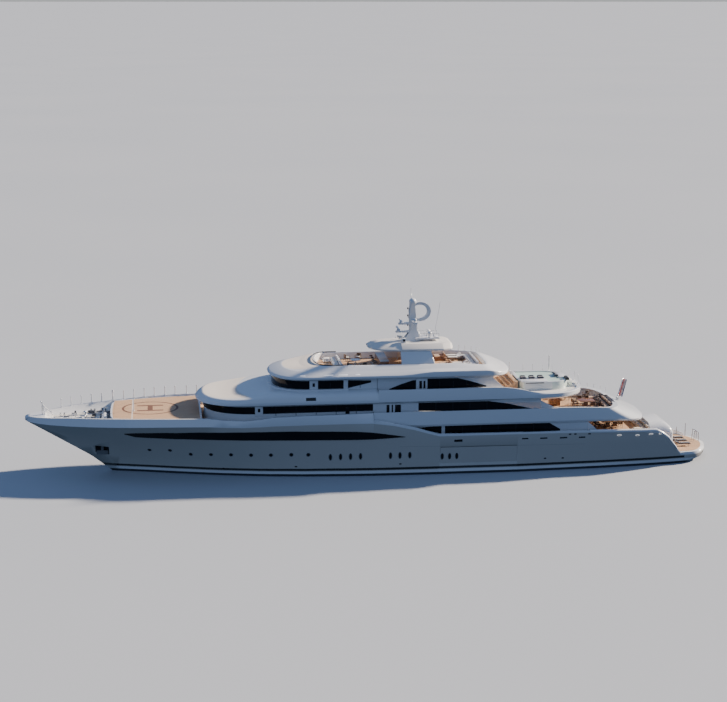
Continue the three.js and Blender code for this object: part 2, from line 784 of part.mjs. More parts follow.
const upperHouse = {
  fore: 18.9,
  aft: -18.2,
  half: 5.35,
  nose: 5.2,
  stops: [8, 0],
  noseSteps: 10,
};
const upperHouseTop = 8.1;
const upperHouseBody = deckHouse(upperHouse, upperDeckZ + seat, upperHouseTop, 0.03);
const upperWings = sideWings(5.34, [
  [-17.9, upperDeckZ + seat, 7.88],
  [-18.2, upperDeckZ + seat, 7.88],
  [-20.2, upperDeckZ + seat, 6.82],
  [-21.6, upperDeckZ + seat, 6.15],
]);
const upperHouseWhole = joined(upperHouseBody, ...upperWings);
add("upper_deck_house", cut(upperHouseWhole, ...saloon(upperHouse.aft, upperDeckZ)), white);
slidingLeaves("upper_deck", upperHouse.aft, upperDeckZ);

// Glass that wraps the rounded front of a house and runs aft along both sides
function wrapGlass(shape, band, aftEnd, thick = 0.06) {
  const outline = halfOutline({ ...shape, stops: band.map((row) => row[0]) });
  const path = outline.filter(([x]) => x > aftEnd - 0.01);
  const low = (x) => reading(band.map(([bx, l]) => [bx, l]), x);
  const high = (x) => reading(band.map(([bx, , h]) => [bx, h]), x);
  const section = ([x, y], i, list) => {
    const before = list[Math.max(i - 1, 0)];
    const after = list[Math.min(i + 1, list.length - 1)];
    const tangent = i === 0 ? [0, 1] : [after[0] - before[0], after[1] - before[1]];
    const length = Math.hypot(...tangent);
    const normal = [tangent[1] / length, -tangent[0] / length];
    const at = (distance, z) => [x + normal[0] * distance, y + normal[1] * distance, z];
    return [at(seat * 2, low(x)), at(thick, low(x)), at(thick, high(x)), at(seat * 2, high(x))];
  };
  const port = path.map(section);
  const starboard = port.slice(1).map((ring) => ring.map(([x, y, z]) => [x, -y, z]));
  return sectionBody([...starboard.reverse(), ...port]);
}

const upperBand = [
  [19.2, 7.3, 8.0],
  [13.6, 7.2, 7.98],
  [0.5, 7.25, 7.98],
  [-5, 7.1, 7.98],
  [-12.3, 6.8, 7.98],
  [-14.4, 6.8, 7.66],
  [-17.6, 6.8, 6.9],
];
add("upper_deck_glass", wrapGlass(upperHouse, upperBand, -17.6), glassBlack, { roughness: 0.08 });

// Roof of the upper house forward, and the bridge deck with its bulwark aft
const roofStops = [8, 4, 0];
const roofLevel = (fore, half, z, nose = 6) =>
  level({ fore, aft: 0, half, nose, nosePower: 2.4, noseSteps: 9, stops: roofStops }, z);
const roofTop = (rise) => (x) => 8.85 + rise * THREE.MathUtils.smoothstep(-x, -17.5, -10.5);
add(
  "upper_house_roof",
  mirroredBody([
    roofLevel(19.3, 5.7, upperHouseTop + seat),
    roofLevel(19.8, 6.05, 8.25),
    roofLevel(19.6, 6.1, 8.5),
    roofLevel(19.0, 5.95, roofTop(0.2)),
    roofLevel(17.9, 5.6, roofTop(0.5)),
    roofLevel(16.4, 5.1, roofTop(0.68)),
    roofLevel(14.5, 4.0, roofTop(0.72)),
  ]),
  white,
);

const bridgeShellFore = -0.002;
const bridgeShell = {
  fore: 4,
  aft: -23.6,
  half: 6.05,
  halfAft: 5.85,
  nose: 0.01,
  noseSteps: 1,
  tail: 5.2,
  tailPower: 2.3,
  tailSteps: 7,
  stops: [-4, -8, -11, -13.5, -15.5, -17],
};
const bridgeBulwarkTop = [
  [0, 9.58],
  [-13.5, 9.6],
  [-15.5, 9.4],
  [-17, 9.0],
  [-18.4, 8.8],
  [-23.6, 8.76],
];
const bridgeTopZ = (x) => reading(bridgeBulwarkTop, x);
const bridgeTray = mirroredBody([
  level(narrower(bridgeShell, 0.35), upperHouseTop + seat),
  level(bridgeShell, 8.3),
  level(bridgeShell, 8.75),
  level(narrower(bridgeShell, 0.12), bridgeTopZ),
  level(shorter(bridgeShell, 0.34), bridgeTopZ),
  level(shorter(bridgeShell, 0.34), bridgeDeckZ),
]);
add("bridge_deck", common(bridgeTray, box(-50, bridgeShellFore, -10, 10, 0, 20)), white);

const wheelhouse = { fore: 11.3, aft: 0.01, half: 4.75, nose: 4.2, stops: [4], noseSteps: 10 };
const roofSeatZ = 8.85 + 0.72 + seat;
const sunDeckLow = 10.7;
add("wheelhouse", deckHouse(wheelhouse, roofSeatZ, sunDeckLow, 0.03), white);
const wheelhouseBand = [
  [11.6, 9.68, 10.6],
  [3.7, 9.62, 10.6],
  [0.7, 10.3, 10.5],
];
add("wheelhouse_glass", wrapGlass(wheelhouse, wheelhouseBand, 0.7), glassBlack, { roughness: 0.08 });

const bridgeHouse = { fore: -0.01, aft: -12.9, half: 4.85, nose: 0.01, noseSteps: 1, stops: [-6] };
const bridgeHouseBody = deckHouse(bridgeHouse, bridgeDeckZ + seat, sunDeckLow, 0.02);
const bridgeWings = sideWings(4.84, [
  [-12.6, bridgeDeckZ + seat, 10.6],
  [-12.95, bridgeDeckZ + seat, 10.4],
  [-14.1, bridgeDeckZ + seat, 9.35],
  [-14.9, bridgeDeckZ + seat, 8.9],
]);
const bridgeHouseWhole = joined(bridgeHouseBody, ...bridgeWings);
add("bridge_deck_house", cut(bridgeHouseWhole, ...saloon(bridgeHouse.aft, bridgeDeckZ)), white);
slidingLeaves("bridge_deck", bridgeHouse.aft, bridgeDeckZ);
const bridgePane = [
  [-1.3, 9.45, 9.52],
  [-2.6, 9.42, 10.02],
  [-3.9, 9.42, 10.42],
  [-5.5, 9.42, 10.56],
  [-8.9, 9.45, 10.56],
  [-10.3, 9.48, 10.2],
  [-12.1, 9.5, 9.62],
];

for (const side of ["port", "starboard"]) {
  const placed = (geometry) => (side === "port" ? geometry : toStarboard(geometry));
  add(`main_deck_glass_${side}`, placed(pane(mainPane, 5.3)), glassBlack, { roughness: 0.08 });
  add(`bridge_deck_glass_${side}`, placed(pane(bridgePane, 4.85)), glassBlack, { roughness: 0.08 });
}

// Sun deck: lip, sloping shoulder, coaming and the well inside it. The rounded tail slopes down.
const sunShape = (fore, half, nose, aft, tail = 3.2, tailPower = 2.2) => ({
  fore,
  aft,
  half,
  nose,
  tail,
  tailPower,
  noseSteps: 9,
  tailSteps: 7,
  stops: [2, -3, -6.5, -10],
});
const wellShape = sunShape(6.4, 3.8, 1.6, -12.4, 0.8, 4);
const fall = (x, from, to) => THREE.MathUtils.smoothstep(-x, from, to);
const lipTop = (x) => 11.1 + 0.36 * fall(x, 2.7, 6.5) - 0.5 * fall(x, 12, 15.3);
const shoulderTop = (x) => 11.55 + 0.1 * fall(x, 2.7, 6.5) - 0.5 * fall(x, 12, 14.5);
const coamingTop = (x) => reading([[9, 11.5], [6.3, 12.05], [-9, 12.05], [-12.9, 11.75]], x);
const lipLow = (x) => 10.85 - 0.15 * fall(x, 12, 15);
add(
  "sun_deck",
  mirroredBody([
    level(sunShape(11.3, 4.95, 4.2, -14.6), sunDeckLow + seat),
    level(sunShape(11.8, 5.5, 4.6, -15.3), lipLow),
    level(sunShape(11.6, 5.5, 4.6, -15.25), lipTop),
    level(sunShape(10.2, 4.75, 4.4, -14.4, 2.9), shoulderTop),
    level(sunShape(8.2, 4.05, 3.4, -12.8, 1.2, 3), coamingTop),
    level(wellShape, coamingTop),
    level(wellShape, sunDeckZ),
  ]),
  white,
);

// Arch and hardtop
const arch = { fore: -2.8, aft: -6.2, foot: 12.05 };
for (const side of ["port", "starboard"]) {
  const leg = sectionBody([
    [
      [arch.fore, 3.82, arch.foot + seat],
      [arch.fore, 4.02, arch.foot + seat],
      [arch.aft - 0.3, 4.02, arch.foot + seat],
      [arch.aft - 0.3, 3.82, arch.foot + seat],
    ],
    [
      [arch.fore, 2.7, hardtopZ - seat],
      [arch.fore, 3.1, hardtopZ - seat],
      [arch.aft, 3.1, hardtopZ - seat],
      [arch.aft, 2.7, hardtopZ - seat],
    ],
  ]);
  add(`arch_leg_${side}`, side === "port" ? leg : toStarboard(leg), white);
}
// Columns: x, half-breadth, underside and top of the edge, half-breadth and height of the top
const hardtopSections = [
  [0.6, 1.0, 13.4, 13.5, 0.5, 13.62],
  [0.1, 2.0, 13.34, 13.5, 0.8, 13.85],
  [-1.0, 2.7, hardtopZ, 13.5, 1.1, hardtopTopZ],
  [-2.9, 3.05, hardtopZ, 13.5, 1.5, hardtopTopZ],
  [-2.95, 3.12, hardtopZ, 13.75, 2.8, hardtopTopZ],
  [-7.6, 3.1, hardtopZ, 13.7, 2.75, hardtopTopZ],
  [-8.5, 2.6, 13.32, 13.65, 2.3, 13.92],
  [-8.8, 2.0, 13.36, 13.55, 1.8, 13.8],
];
const hardtopRows = [
  hardtopSections.map(([x, edge, low]) => [x, edge, low]),
  hardtopSections.map(([x, edge, , high]) => [x, edge, high]),
  hardtopSections.map(([x, , , , half, top]) => [x, half, top]),
];
add("hardtop", mirroredBody(hardtopRows), cream);

// Mast with its ring, spreaders and platform
const mastFoot = hardtopTopZ + seat;
const mastRing = () => {
  const outer = new THREE.Shape();
  outer.absellipse(0, 0, 1.25, 1.1, 0, Math.PI * 2);
  const hole = new THREE.Path();
  hole.absellipse(0.05, 0, 0.88, 0.78, 0, Math.PI * 2, true);
  outer.holes.push(hole);
  const depth = 0.44;
  const ring = new THREE.ExtrudeGeometry(outer, { depth, bevelEnabled: false, curveSegments: 8 });
  ring.translate(0, 0, -depth / 2);
  ring.rotateX(Math.PI / 2);
  ring.translate(-5.35, 0, 17.25);
  return ring;
};
const mastColumn = sectionBody([
  [
    [-3.4, 0.55, mastFoot],
    [-5.4, 0.55, mastFoot],
    [-5.4, -0.55, mastFoot],
    [-3.4, -0.55, mastFoot],
  ],
  [
    [-4.16, 0.3, 15.0],
    [-5.1, 0.3, 15.0],
    [-5.1, -0.3, 15.0],
    [-4.16, -0.3, 15.0],
  ],
  [
    [-4.2, 0.25, 18.2],
    [-4.75, 0.25, 18.2],
    [-4.75, -0.25, 18.2],
    [-4.2, -0.25, 18.2],
  ],
]);
const spreader = (z, fore, half) => box(-4.4, fore, -half, half, z - 0.09, z + 0.09);
const mast = joined(
  mastColumn,
  mastRing(),
  spreader(15.0, -2.65, 0.3),
  spreader(15.9, -2.95, 0.3),
  box(-4.8, -4.3, -2.2, 2.2, 16.2, 16.36),
  box(-7.5, -4.8, -0.9, 0.9, 14.2, 14.36),
  ball(-4.55, 0, 18.35, 0.42),
  bar([-4.4, 0, 18.6], [-4.36, 0, 19.9], 0.045, 0.03, 8),
  bar([-6.9, 0.5, 14.3], [-7.6, 0.5, 18.4], 0.035, 0.02, 6),
);
add("mast", mast, white);
const scanners = [
  { name: "radar_scanner_lower", x: -2.9, z: 15.09, half: 1.2 },
  { name: "radar_scanner_upper", x: -3.2, z: 15.99, half: 0.85 },
];
for (const { name, x, z, half } of scanners) {
  const pedestal = bar([x, 0, z + seat], [x, 0, z + 0.22], 0.14, 0.14, 12);
  const arm = box(x - 0.09, x + 0.09, -half, half, z + 0.18, z + 0.34);
  add(name, joined(pedestal, arm), white);
}

// Foredeck: the raised round deck, its fittings and the bow
const roundDeck = { fore: 29.15, aft: 19.2, low: upperDeckZ + seat, top: 6.9, gap: 0.02 };
function roundBody() {
  const bulwark = stations.map((row) => [row[0], row[5] - bulwarkWall]);
  const { fore, aft } = roundDeck;
  const shape = { fore, aft, half: 8, nose: 1.1, nosePower: 2 };
  const blank = mirroredBody([level(shape, roundDeck.low), level(shape, roundDeck.top)]);
  const columns = [30, 28.2, 27, 25, 22, 19.4, 19];
  const limit = (z) => columns.map((x) => [x, reading(bulwark, x) - roundDeck.gap, z]);
  return common(blank, mirroredBody([limit(5), limit(8)]));
}
add("round_deck", roundBody(), teak, { roughness: 0.7 });
for (const side of ["port", "starboard"]) {
  const sign = side === "port" ? 1 : -1;
  const [foot, top] = [upperDeckZ + seat, 6.5].map((z) => [32.0, sign * 1.0, z]);
  const drum = bar(foot, top, 0.32, 0.26, 16);
  const gearbox = box(31.2, 32.1, sign * 1.0 - 0.3, sign * 1.0 + 0.3, upperDeckZ + seat, 6.25);
  add(`windlass_${side}`, joined(drum, gearbox), steel, { roughness: 0.3, metalness: 1 });
}
const foredeckZ = (x) => reading(stations.map((row) => [row[0], row[7]]), x);
const staff = { x: 36.6, braceX: 35.6, radius: 0.05, top: 7.95 };
add(
  "jackstaff",
  joined(
    bar([staff.x, 0, foredeckZ(staff.x - 0.05) + seat], [staff.x, 0, staff.top], staff.radius, 0.035),
    bar([staff.x, 0, 7.6], [staff.braceX, 0, 6.75], 0.04),
    bar([staff.braceX, 0, 6.8], [staff.braceX, 0, foredeckZ(staff.braceX + 0.04) + seat], 0.04),
  ),
  steel,
  { roughness: 0.25, metalness: 1 },
);

// Furniture of the open decks
function settee(x0, x1, half, low, { depth = 0.9, seatHigh = 0.45, backHigh = 0.8 } = {}) {
  const base = box(x0, x1, -half, half, low + seat, low + seatHigh);
  const back = box(x0, x0 + 0.25, -half, half, low + 0.1, low + backHigh);
  const arms = both(() => box(x0, x1 + depth, half - 0.9, half, low + seat, low + seatHigh));
  return joined(base, back, ...arms);
}
const cabinTable = (x, half, long, low) =>
  joined(
    box(x - 0.1, x + 0.1, -0.3, 0.3, low + seat, low + 0.7),
    box(x - long / 2, x + long / 2, -half, half, low + 0.66, low + 0.72),
  );
add("upper_deck_settee", settee(-27.1, -26.2, 3.2, upperDeckZ), cushion, { roughness: 0.9 });
add("upper_deck_table", cabinTable(-24.6, 0.9, 1.8, upperDeckZ), wood);
add("main_deck_settee", settee(-31.2, -30.3, 3.2, mainDeckZ), cushion, { roughness: 0.9 });
add("main_deck_table", cabinTable(-27.2, 0.9, 1.8, mainDeckZ), wood);
add("sun_deck_settee_fore", settee(3.6, 4.5, 2.8, sunDeckZ), cushion, { roughness: 0.9 });
add("sun_deck_bar", box(-1.6, -0.6, -2.4, 2.4, sunDeckZ + seat, 12.2), wood);
add("sun_deck_settee_aft", settee(-11.6, -10.7, 2.8, sunDeckZ), cushion, { roughness: 0.9 });
const poolPlan = {
  fore: -16.3,
  aft: -22.2,
  half: 3.1,
  nose: 0.5,
  noseSteps: 4,
  tail: 2.4,
  tailSteps: 6,
  stops: [-18],
};
const poolTop = 9.5;
add(
  "spa_pool",
  mirroredBody([level(poolPlan, bridgeDeckZ + seat), level(poolPlan, poolTop)]),
  paleGreen,
);

// Ensign on its staff, which leans aft over the stern of the upper deck
const ensign = { x: -28.2, foot: 6.63, topX: -28.85, top: 9.1, radius: 0.05, tip: 0.035, thick: 0.03 };

// Aft side of the staff at a height, where the flag is laced on
const laceX = (z) => {
  const share = (z - ensign.foot) / (ensign.top - ensign.foot);
  const radius = ensign.radius + (ensign.tip - ensign.radius) * share;
  return ensign.x + (ensign.topX - ensign.x) * share - radius - seat * 1.2;
};
const staffFoot = cut(box(ensign.x - 0.15, ensign.x + 0.15, -0.12, 0.12, 6.2, 6.75), upperTray);
const ensignStaff = joined(
  bar([ensign.x, 0, ensign.foot], [ensign.topX, 0, ensign.top], ensign.radius, ensign.tip),
  staffFoot,
);
ensignStaff.translate(0, 0, seat);
add("ensign_staff", ensignStaff, steel, { roughness: 0.25, metalness: 1 });
const flagRows = [
  [8.95, 0.12],
  [8.4, 0.5],
  [7.6, 0.6],
  [7.0, 0.5],
  [6.85, 0.2],
];
const flag = sectionBody(
  flagRows.map(([z, long]) => {
    const luff = laceX(z);
    return [
      [luff, -ensign.thick / 2, z],
      [luff, ensign.thick / 2, z],
      [luff - long, ensign.thick / 2, z],
      [luff - long, -ensign.thick / 2, z],
    ];
  }),
);
add("ensign", flag, 0xa83a3a, { roughness: 0.9 });

export default yacht;
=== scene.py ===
# Looks of the motor yacht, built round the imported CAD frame.
# Places and sizes are in metres of the full-size ship; at() brings them to the 1:2 model.
import math

import bmesh
import bpy
from mathutils import Matrix, Vector
from mathutils.bvhtree import BVHTree


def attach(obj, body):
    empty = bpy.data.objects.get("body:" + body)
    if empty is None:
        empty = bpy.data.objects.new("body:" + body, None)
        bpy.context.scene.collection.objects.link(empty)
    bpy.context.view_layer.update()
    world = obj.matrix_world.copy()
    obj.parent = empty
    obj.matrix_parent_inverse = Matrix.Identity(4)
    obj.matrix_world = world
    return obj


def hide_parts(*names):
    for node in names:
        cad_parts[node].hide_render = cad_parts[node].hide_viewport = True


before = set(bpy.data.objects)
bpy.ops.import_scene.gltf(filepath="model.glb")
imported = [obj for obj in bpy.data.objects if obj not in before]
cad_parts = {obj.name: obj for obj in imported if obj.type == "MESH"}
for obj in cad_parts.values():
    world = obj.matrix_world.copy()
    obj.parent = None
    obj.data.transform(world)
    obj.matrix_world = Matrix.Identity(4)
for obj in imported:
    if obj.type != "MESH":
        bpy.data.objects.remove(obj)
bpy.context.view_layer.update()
shipScale = 0.5


def at(x, y, z):
    return Vector((x, y, z)) * shipScale


def along(table, x):
    # straight-line reading of (x, value) rows, whatever their order
    rows = sorted(table)
    for (x0, v0), (x1, v1) in zip(rows, rows[1:]):
        if x <= x1:
            return v0 + (v1 - v0) * max(x - x0, 0) / (x1 - x0)
    return rows[-1][1]


def eased(x, low, high):
    share = min(max((x - low) / (high - low), 0), 1)
    return share * share * (3 - 2 * share)


# camera and light
view = {
    "place": (23.54, 192.98, 51.26),  # metres of the full-size ship
    "turn": 6.67,  # degrees off the beam, towards the stern
    "pitch": 11.18,  # degrees down
    "focal": 1771.3,  # in pixels of the 727 px wide picture
    "width": 727,
    "sensor": 36,
    "clip": (0.5, 200000),
}


def makeCamera():
    turn = math.radians(view["turn"])
    pitch = math.radians(view["pitch"])
    right = Vector((-math.cos(turn), math.sin(turn), 0))
    level = Vector((-math.sin(turn), -math.cos(turn), 0))
    ahead = level * math.cos(pitch) - Vector((0, 0, math.sin(pitch)))
    stand = Matrix((right, right.cross(ahead), -ahead)).transposed().to_4x4()
    data = bpy.data.cameras.new("camera")
    data.sensor_fit = "HORIZONTAL"
    data.sensor_width = view["sensor"]
    data.lens = view["focal"] / view["width"] * view["sensor"]
    data.clip_start, data.clip_end = view["clip"]
    camera = bpy.data.objects.new("camera", data)
    camera.matrix_world = Matrix.Translation(at(*view["place"])) @ stand
    bpy.context.scene.collection.objects.link(camera)
    bpy.context.scene.camera = camera


light = {
    "suns": {  # where each comes from, its power, tint and angle in degrees
        "key": ((-100, -36, 52), 11.5, (1.0, 0.87, 0.72), 3),  # low, from aft, as the photograph's shadows say
        "fill": ((30, 150, 60), 0.1, (0.72, 0.83, 1.0), 40),
    },
    "sky": (0.31, 0.49, 0.90),
    "below": (0.10, 0.16, 0.27),  # the light from under the horizon
    "horizon": (-0.2, 0.15),  # heights between which the two blend
    "skyPower": 0.46,
    "backdrop": (0.47, 0.48, 0.49),  # what the camera sees over the floor's far edge
    "floor": ((0.44, 0.47, 0.51), (0.50, 0.52, 0.55)),
    "floorRadius": 60000,
}


def makeLight():
    scene = bpy.context.scene
    world = bpy.data.worlds.new("studio")
    world.use_nodes = True
    graph = Graph(world.node_tree)
    sky, output = graph.tree.nodes["Background"], graph.tree.nodes["World Output"]
    sky.inputs["Strength"].default_value = light["skyPower"]
    height = graph.split(graph.wire("ShaderNodeTexCoord", output="Generated"))[2]
    low, high = light["horizon"]
    edge = graph.wire("ShaderNodeMapRange", {}, {"Value": height, "From Min": low, "From Max": high})
    graph.tree.links.new(graph.mixed(edge, light["below"], light["sky"]).socket, sky.inputs["Color"])
    plain = graph.wire("ShaderNodeBackground", {}, {"Color": (*light["backdrop"], 1)})
    seen = graph.wire("ShaderNodeLightPath", output="Is Camera Ray")
    either = graph.wire("ShaderNodeMixShader", {}, {0: seen, 1: Wire(graph, sky.outputs[0]), 2: plain})
    graph.tree.links.new(either.socket, output.inputs[0])
    scene.world = world
    for name, (source, power, tint, angle) in light["suns"].items():
        data = bpy.data.lights.new(name, "SUN")
        data.energy = power
        data.color = tint
        data.angle = math.radians(angle)
        lamp = bpy.data.objects.new(name, data)
        lamp.rotation_euler = Vector(source).to_track_quat("Z", "Y").to_euler()
        scene.collection.objects.link(lamp)


class Wire:
    # a shader socket that takes part in ordinary arithmetic
    def __init__(self, graph, socket):
        self.graph = graph
        self.socket = socket

    def __add__(self, other):
        return self.graph.maths("ADD", self, other)

    def __radd__(self, other):
        return self.graph.maths("ADD", other, self)

    def __sub__(self, other):
        return self.graph.maths("SUBTRACT", self, other)

    def __rsub__(self, other):
        return self.graph.maths("SUBTRACT", other, self)

    def __mul__(self, other):
        return self.graph.maths("MULTIPLY", self, other)

    def __rmul__(self, other):
        return self.graph.maths("MULTIPLY", other, self)

    def __truediv__(self, other):
        return self.graph.maths("DIVIDE", self, other)

    def __lt__(self, other):
        return self.graph.maths("LESS_THAN", self, other)

    def __gt__(self, other):
        return self.graph.maths("GREATER_THAN", self, other)

    def __abs__(self):
        return self.graph.maths("ABSOLUTE", self)


class Graph:
    # a node tree; node() makes every node in it
    def __init__(self, tree):
        self.tree = tree

    def node(self, kind, settings=None, sockets=None):
        made = self.tree.nodes.new(kind)
        for key, value in (settings or {}).items():
            setattr(made, key, value)
        for key, value in (sockets or {}).items():
            if isinstance(value, Wire):
                self.tree.links.new(value.socket, made.inputs[key])
            else:
                made.inputs[key].default_value = value
        return made

    def wire(self, kind, settings=None, sockets=None, output=0):
        return Wire(self, self.node(kind, settings, sockets).outputs[output])

    def maths(self, operation, *values):
        return self.wire("ShaderNodeMath", {"operation": operation}, dict(enumerate(values)))

    def split(self, vector):
        parts = self.node("ShaderNodeSeparateXYZ", {}, {"Vector": vector})
        return [Wire(self, socket) for socket in parts.outputs]

    def mixed(self, mask, first, second):
        first = first if isinstance(first, Wire) else (*first, 1)
        second = second if isinstance(second, Wire) else (*second, 1)
        return self.wire("ShaderNodeMix", {"data_type": "RGBA"}, {0: mask, 6: first, 7: second}, 2)


class Paint(Graph):
    # one material with its Principled shader and the coordinates it reads
    def __init__(self, name, colour, roughness, **constants):
        self.material = bpy.data.materials.new(name)
        self.material.use_nodes = True
        self.material.diffuse_color = (*colour, 1)
        super().__init__(self.material.node_tree)
        self.tree.nodes.clear()
        sockets = {socket.replace("_", " "): value for socket, value in constants.items()}
        sockets.update({"Base Color": (*colour, 1), "Roughness": roughness})
        self.shader = self.node("ShaderNodeBsdfPrincipled", {}, sockets)
        self.node("ShaderNodeOutputMaterial", {}, {0: Wire(self, self.shader.outputs[0])})
        self.place = self.wire("ShaderNodeTexCoord", output="Object")
        self.x, self.y, self.z = self.split(self.place)

    def fraction(self, value):
        return self.maths("FRACT", value)

    def wholePart(self, value):
        return self.maths("FLOOR", value)

    def least(self, a, b):
        return self.maths("MINIMUM", a, b)

    def most(self, a, b):
        return self.maths("MAXIMUM", a, b)

    def power(self, value, index):
        return self.maths("POWER", value, index)

    def root(self, value):
        return self.maths("SQRT", value)

    def between(self, value, low, high):
        return (value > low) * (value < high)

    def stripes(self, value):
        # how far a value is from the middle of its unit
        return abs(self.fraction(value) - 0.5)

    def stretched(self, sx, sy, sz):
        return self.wire("ShaderNodeMapping", {}, {"Vector": self.place, "Scale": (sx, sy, sz)})

    def noise(self, scale, detail=3, vector=None):
        return self.wire("ShaderNodeTexNoise", {}, {"Vector": vector or self.place, "Scale": scale, "Detail": detail})

    def upward(self):
        return self.split(self.wire("ShaderNodeNewGeometry", output="Normal"))[2]

    def feed(self, socket, value):
        self.tree.links.new(value.socket, self.shader.inputs[socket])

    def finished(self, colour, roughness, height=None, depth=0.001, coat=None):
        # links what varies over the surface and hands over the material
        self.feed("Base Color", colour)
        self.feed("Roughness", roughness)
        if coat:
            self.feed("Coat Weight", coat)
        if height:
            self.feed("Normal", self.wire("ShaderNodeBump", {}, {"Height": height, "Distance": depth}))
        return self.material


# light and dark tone of each finish
tones = {
    "white": ((0.80, 0.81, 0.82), (0.74, 0.755, 0.775)),
    "cream": ((0.80, 0.77, 0.72), (0.75, 0.72, 0.67)),
    "hull": ((0.56, 0.53, 0.48), (0.51, 0.485, 0.44)),
    "slime": ((0.016, 0.02, 0.03), (0.035, 0.04, 0.05)),
    "sunlitRoofSand": ((0.79, 0.73, 0.66), (0.71, 0.65, 0.58)),
    "teak": ((0.72, 0.46, 0.27), (0.57, 0.35, 0.20)),
    "varnish": ((0.32, 0.14, 0.055), (0.14, 0.055, 0.025)),
    "glass": ((0.004, 0.005, 0.008), (0.016, 0.015, 0.018)),
    "tile": ((0.56, 0.69, 0.63), (0.66, 0.76, 0.70)),
    "water": ((0.50, 0.68, 0.60), (0.64, 0.78, 0.70)),
    "steel": ((0.62, 0.64, 0.66), (0.50, 0.52, 0.55)),
    "bronze": ((0.60, 0.42, 0.20), (0.40, 0.27, 0.12)),
    "iron": ((0.20, 0.21, 0.22), (0.11, 0.115, 0.12)),
    "bottom": ((0.025, 0.03, 0.042), (0.014, 0.017, 0.024)),
    "machinery": ((0.06, 0.07, 0.09), (0.03, 0.035, 0.05)),
    "lamp": ((0.95, 0.96, 0.98), (0.85, 0.88, 0.92)),
    "rubber": ((0.02, 0.022, 0.025), (0.012, 0.013, 0.015)),
    "beige": ((0.66, 0.58, 0.47), (0.55, 0.47, 0.37)),
    "navy": ((0.035, 0.045, 0.075), (0.02, 0.025, 0.045)),
    "tan": ((0.48, 0.30, 0.19), (0.33, 0.20, 0.12)),
    "wicker": ((0.14, 0.075, 0.045), (0.07, 0.038, 0.025)),
    "linen": ((0.78, 0.77, 0.74), (0.68, 0.67, 0.65)),
}


def gelcoat(name, tone):
    # glossy paint that breaks up a little in tone, as large painted panels do
    paint = Paint(name, tones[tone][0], 0.2, Coat_Roughness=0.06, Coat_IOR=1.5)
    cloud = paint.noise(0.35, 3)
    peel = paint.noise(18, 2)
    return paint, paint.mixed(cloud * 0.8, *tones[tone]), 0.16 + peel * 0.1 + cloud * 0.06, peel


def whitePaint():
    paint, colour, roughness, peel = gelcoat("white_paint", "white")
    return paint.finished(colour, roughness, peel, 0.0008, coat=0.35 + peel * 0.2)


def creamPaint():
    paint, colour, roughness, peel = gelcoat("cream_paint", "cream")
    return paint.finished(colour, roughness + 0.1, peel)


# non-skid sand panels on the noses of two roofs: a rounded plan less a circle round what stands on it; the circle's
# edge follows the shadow that the tier above casts, so the sandy panels are partly painted sunlight
patches = {
    "roof_paint": {
        "fore": 19.0, "start": 13.5, "half": 5.3, "behind": 11,
        "centre": 7.2, "shift": 0.4, "round": 8, "squeeze": 0.71,
    },
    "sun_deck_paint": {
        "fore": 10.1, "start": 6.6, "half": 3.7, "behind": 4.8,
        "centre": 1.0, "shift": 0, "round": 5.6, "squeeze": 0.2,
    },
}


def patchedPaint(name):
    shape = patches[name]
    paint, colour, roughness, peel = gelcoat(name, "white")
    across = abs(paint.y) / (shape["half"] * shipScale)
    ahead = paint.most(paint.x / shipScale - shape["start"], 0) / (shape["fore"] - shape["start"])
    inside = paint.power(across, 2.4) + paint.power(ahead, 2.4) < 1
    dx = paint.x / shipScale - shape["centre"]
    dy = paint.y / shipScale - shape["shift"]
    # the circle stands for the tier's cast shadow: painted shade, where the panel is left out
    clear = paint.root(dx * dx + dy * dy * shape["squeeze"]) > shape["round"]
    panel = inside * clear * (paint.x > shape["behind"] * shipScale) * (paint.upward() > 0.7)
    grit = paint.noise(160, 2)
    sunlitSand = paint.mixed(grit * 0.6 + paint.noise(0.8, 3) * 0.4, *tones["sunlitRoofSand"])
    return paint.finished(paint.mixed(panel, colour, sunlitSand), roughness + panel * 0.5, peel + panel * grit, 0.0008)


# heights over the waterline and lengthwise places, in ship metres, of what is painted on the hull
hullLook = {
    "antifouling": 0.27,
    "stripe": 0.57,
    "stripeTone": (0.82, 0.83, 0.84),
    "line": (0.66, 0.92),
    "lineAft": -35.0,
    "lineTone": (0.012, 0.014, 0.02),
    "seam": 3.37,  # the long seam over the shell doors, at the origin
    "seamRise": 0.0179,
    "seamEnds": (-23, -2.3),
    "seamHalf": 0.012,
    "seamTone": (0.17, 0.16, 0.15),
}


def hullPaint():
    look = hullLook
    paint, colour, roughness, peel = gelcoat("hull_paint", "hull")
    line = paint.between(paint.z, *(z * shipScale for z in look["line"])) * (paint.x > look["lineAft"] * shipScale)
    below = paint.z < look["antifouling"] * shipScale
    stripe = paint.between(paint.z, look["antifouling"] * shipScale, look["stripe"] * shipScale)
    seam = abs(paint.z - paint.x * look["seamRise"] - look["seam"] * shipScale) < look["seamHalf"] * shipScale
    seam = seam * paint.between(paint.x, *(x * shipScale for x in look["seamEnds"]))
    colour = paint.mixed(seam * 0.5, colour, look["seamTone"])
    colour = paint.mixed(stripe, colour, look["stripeTone"])
    colour = paint.mixed(line, colour, look["lineTone"])
    colour = paint.mixed(below, colour, paint.mixed(paint.noise(1.2, 5), *tones["slime"]))
    above = 1 - below
    return paint.finished(colour, roughness * above + 0.5 * below, peel, 0.0008, coat=above * 0.6)


def darkGlass():
    paint = Paint("dark_glass", tones["glass"][0], 0.05, IOR=1.3)
    room = paint.noise(0.9, 2, paint.stretched(1, 1, 3))
    return paint.finished(paint.mixed(room, *tones["glass"]), 0.04 + paint.noise(3, 2) * 0.05)


teakLook = {
    "plank": 0.12,  # width of a plank in ship metres
    "length": 2.4,
    "stagger": 0.37,  # share of a plank's length from one row to the next
    "caulk": 0.1,  # share of a plank's width
    "butt": 0.003,
    "black": (0.05, 0.045, 0.04),
    "depth": 0.004,
}


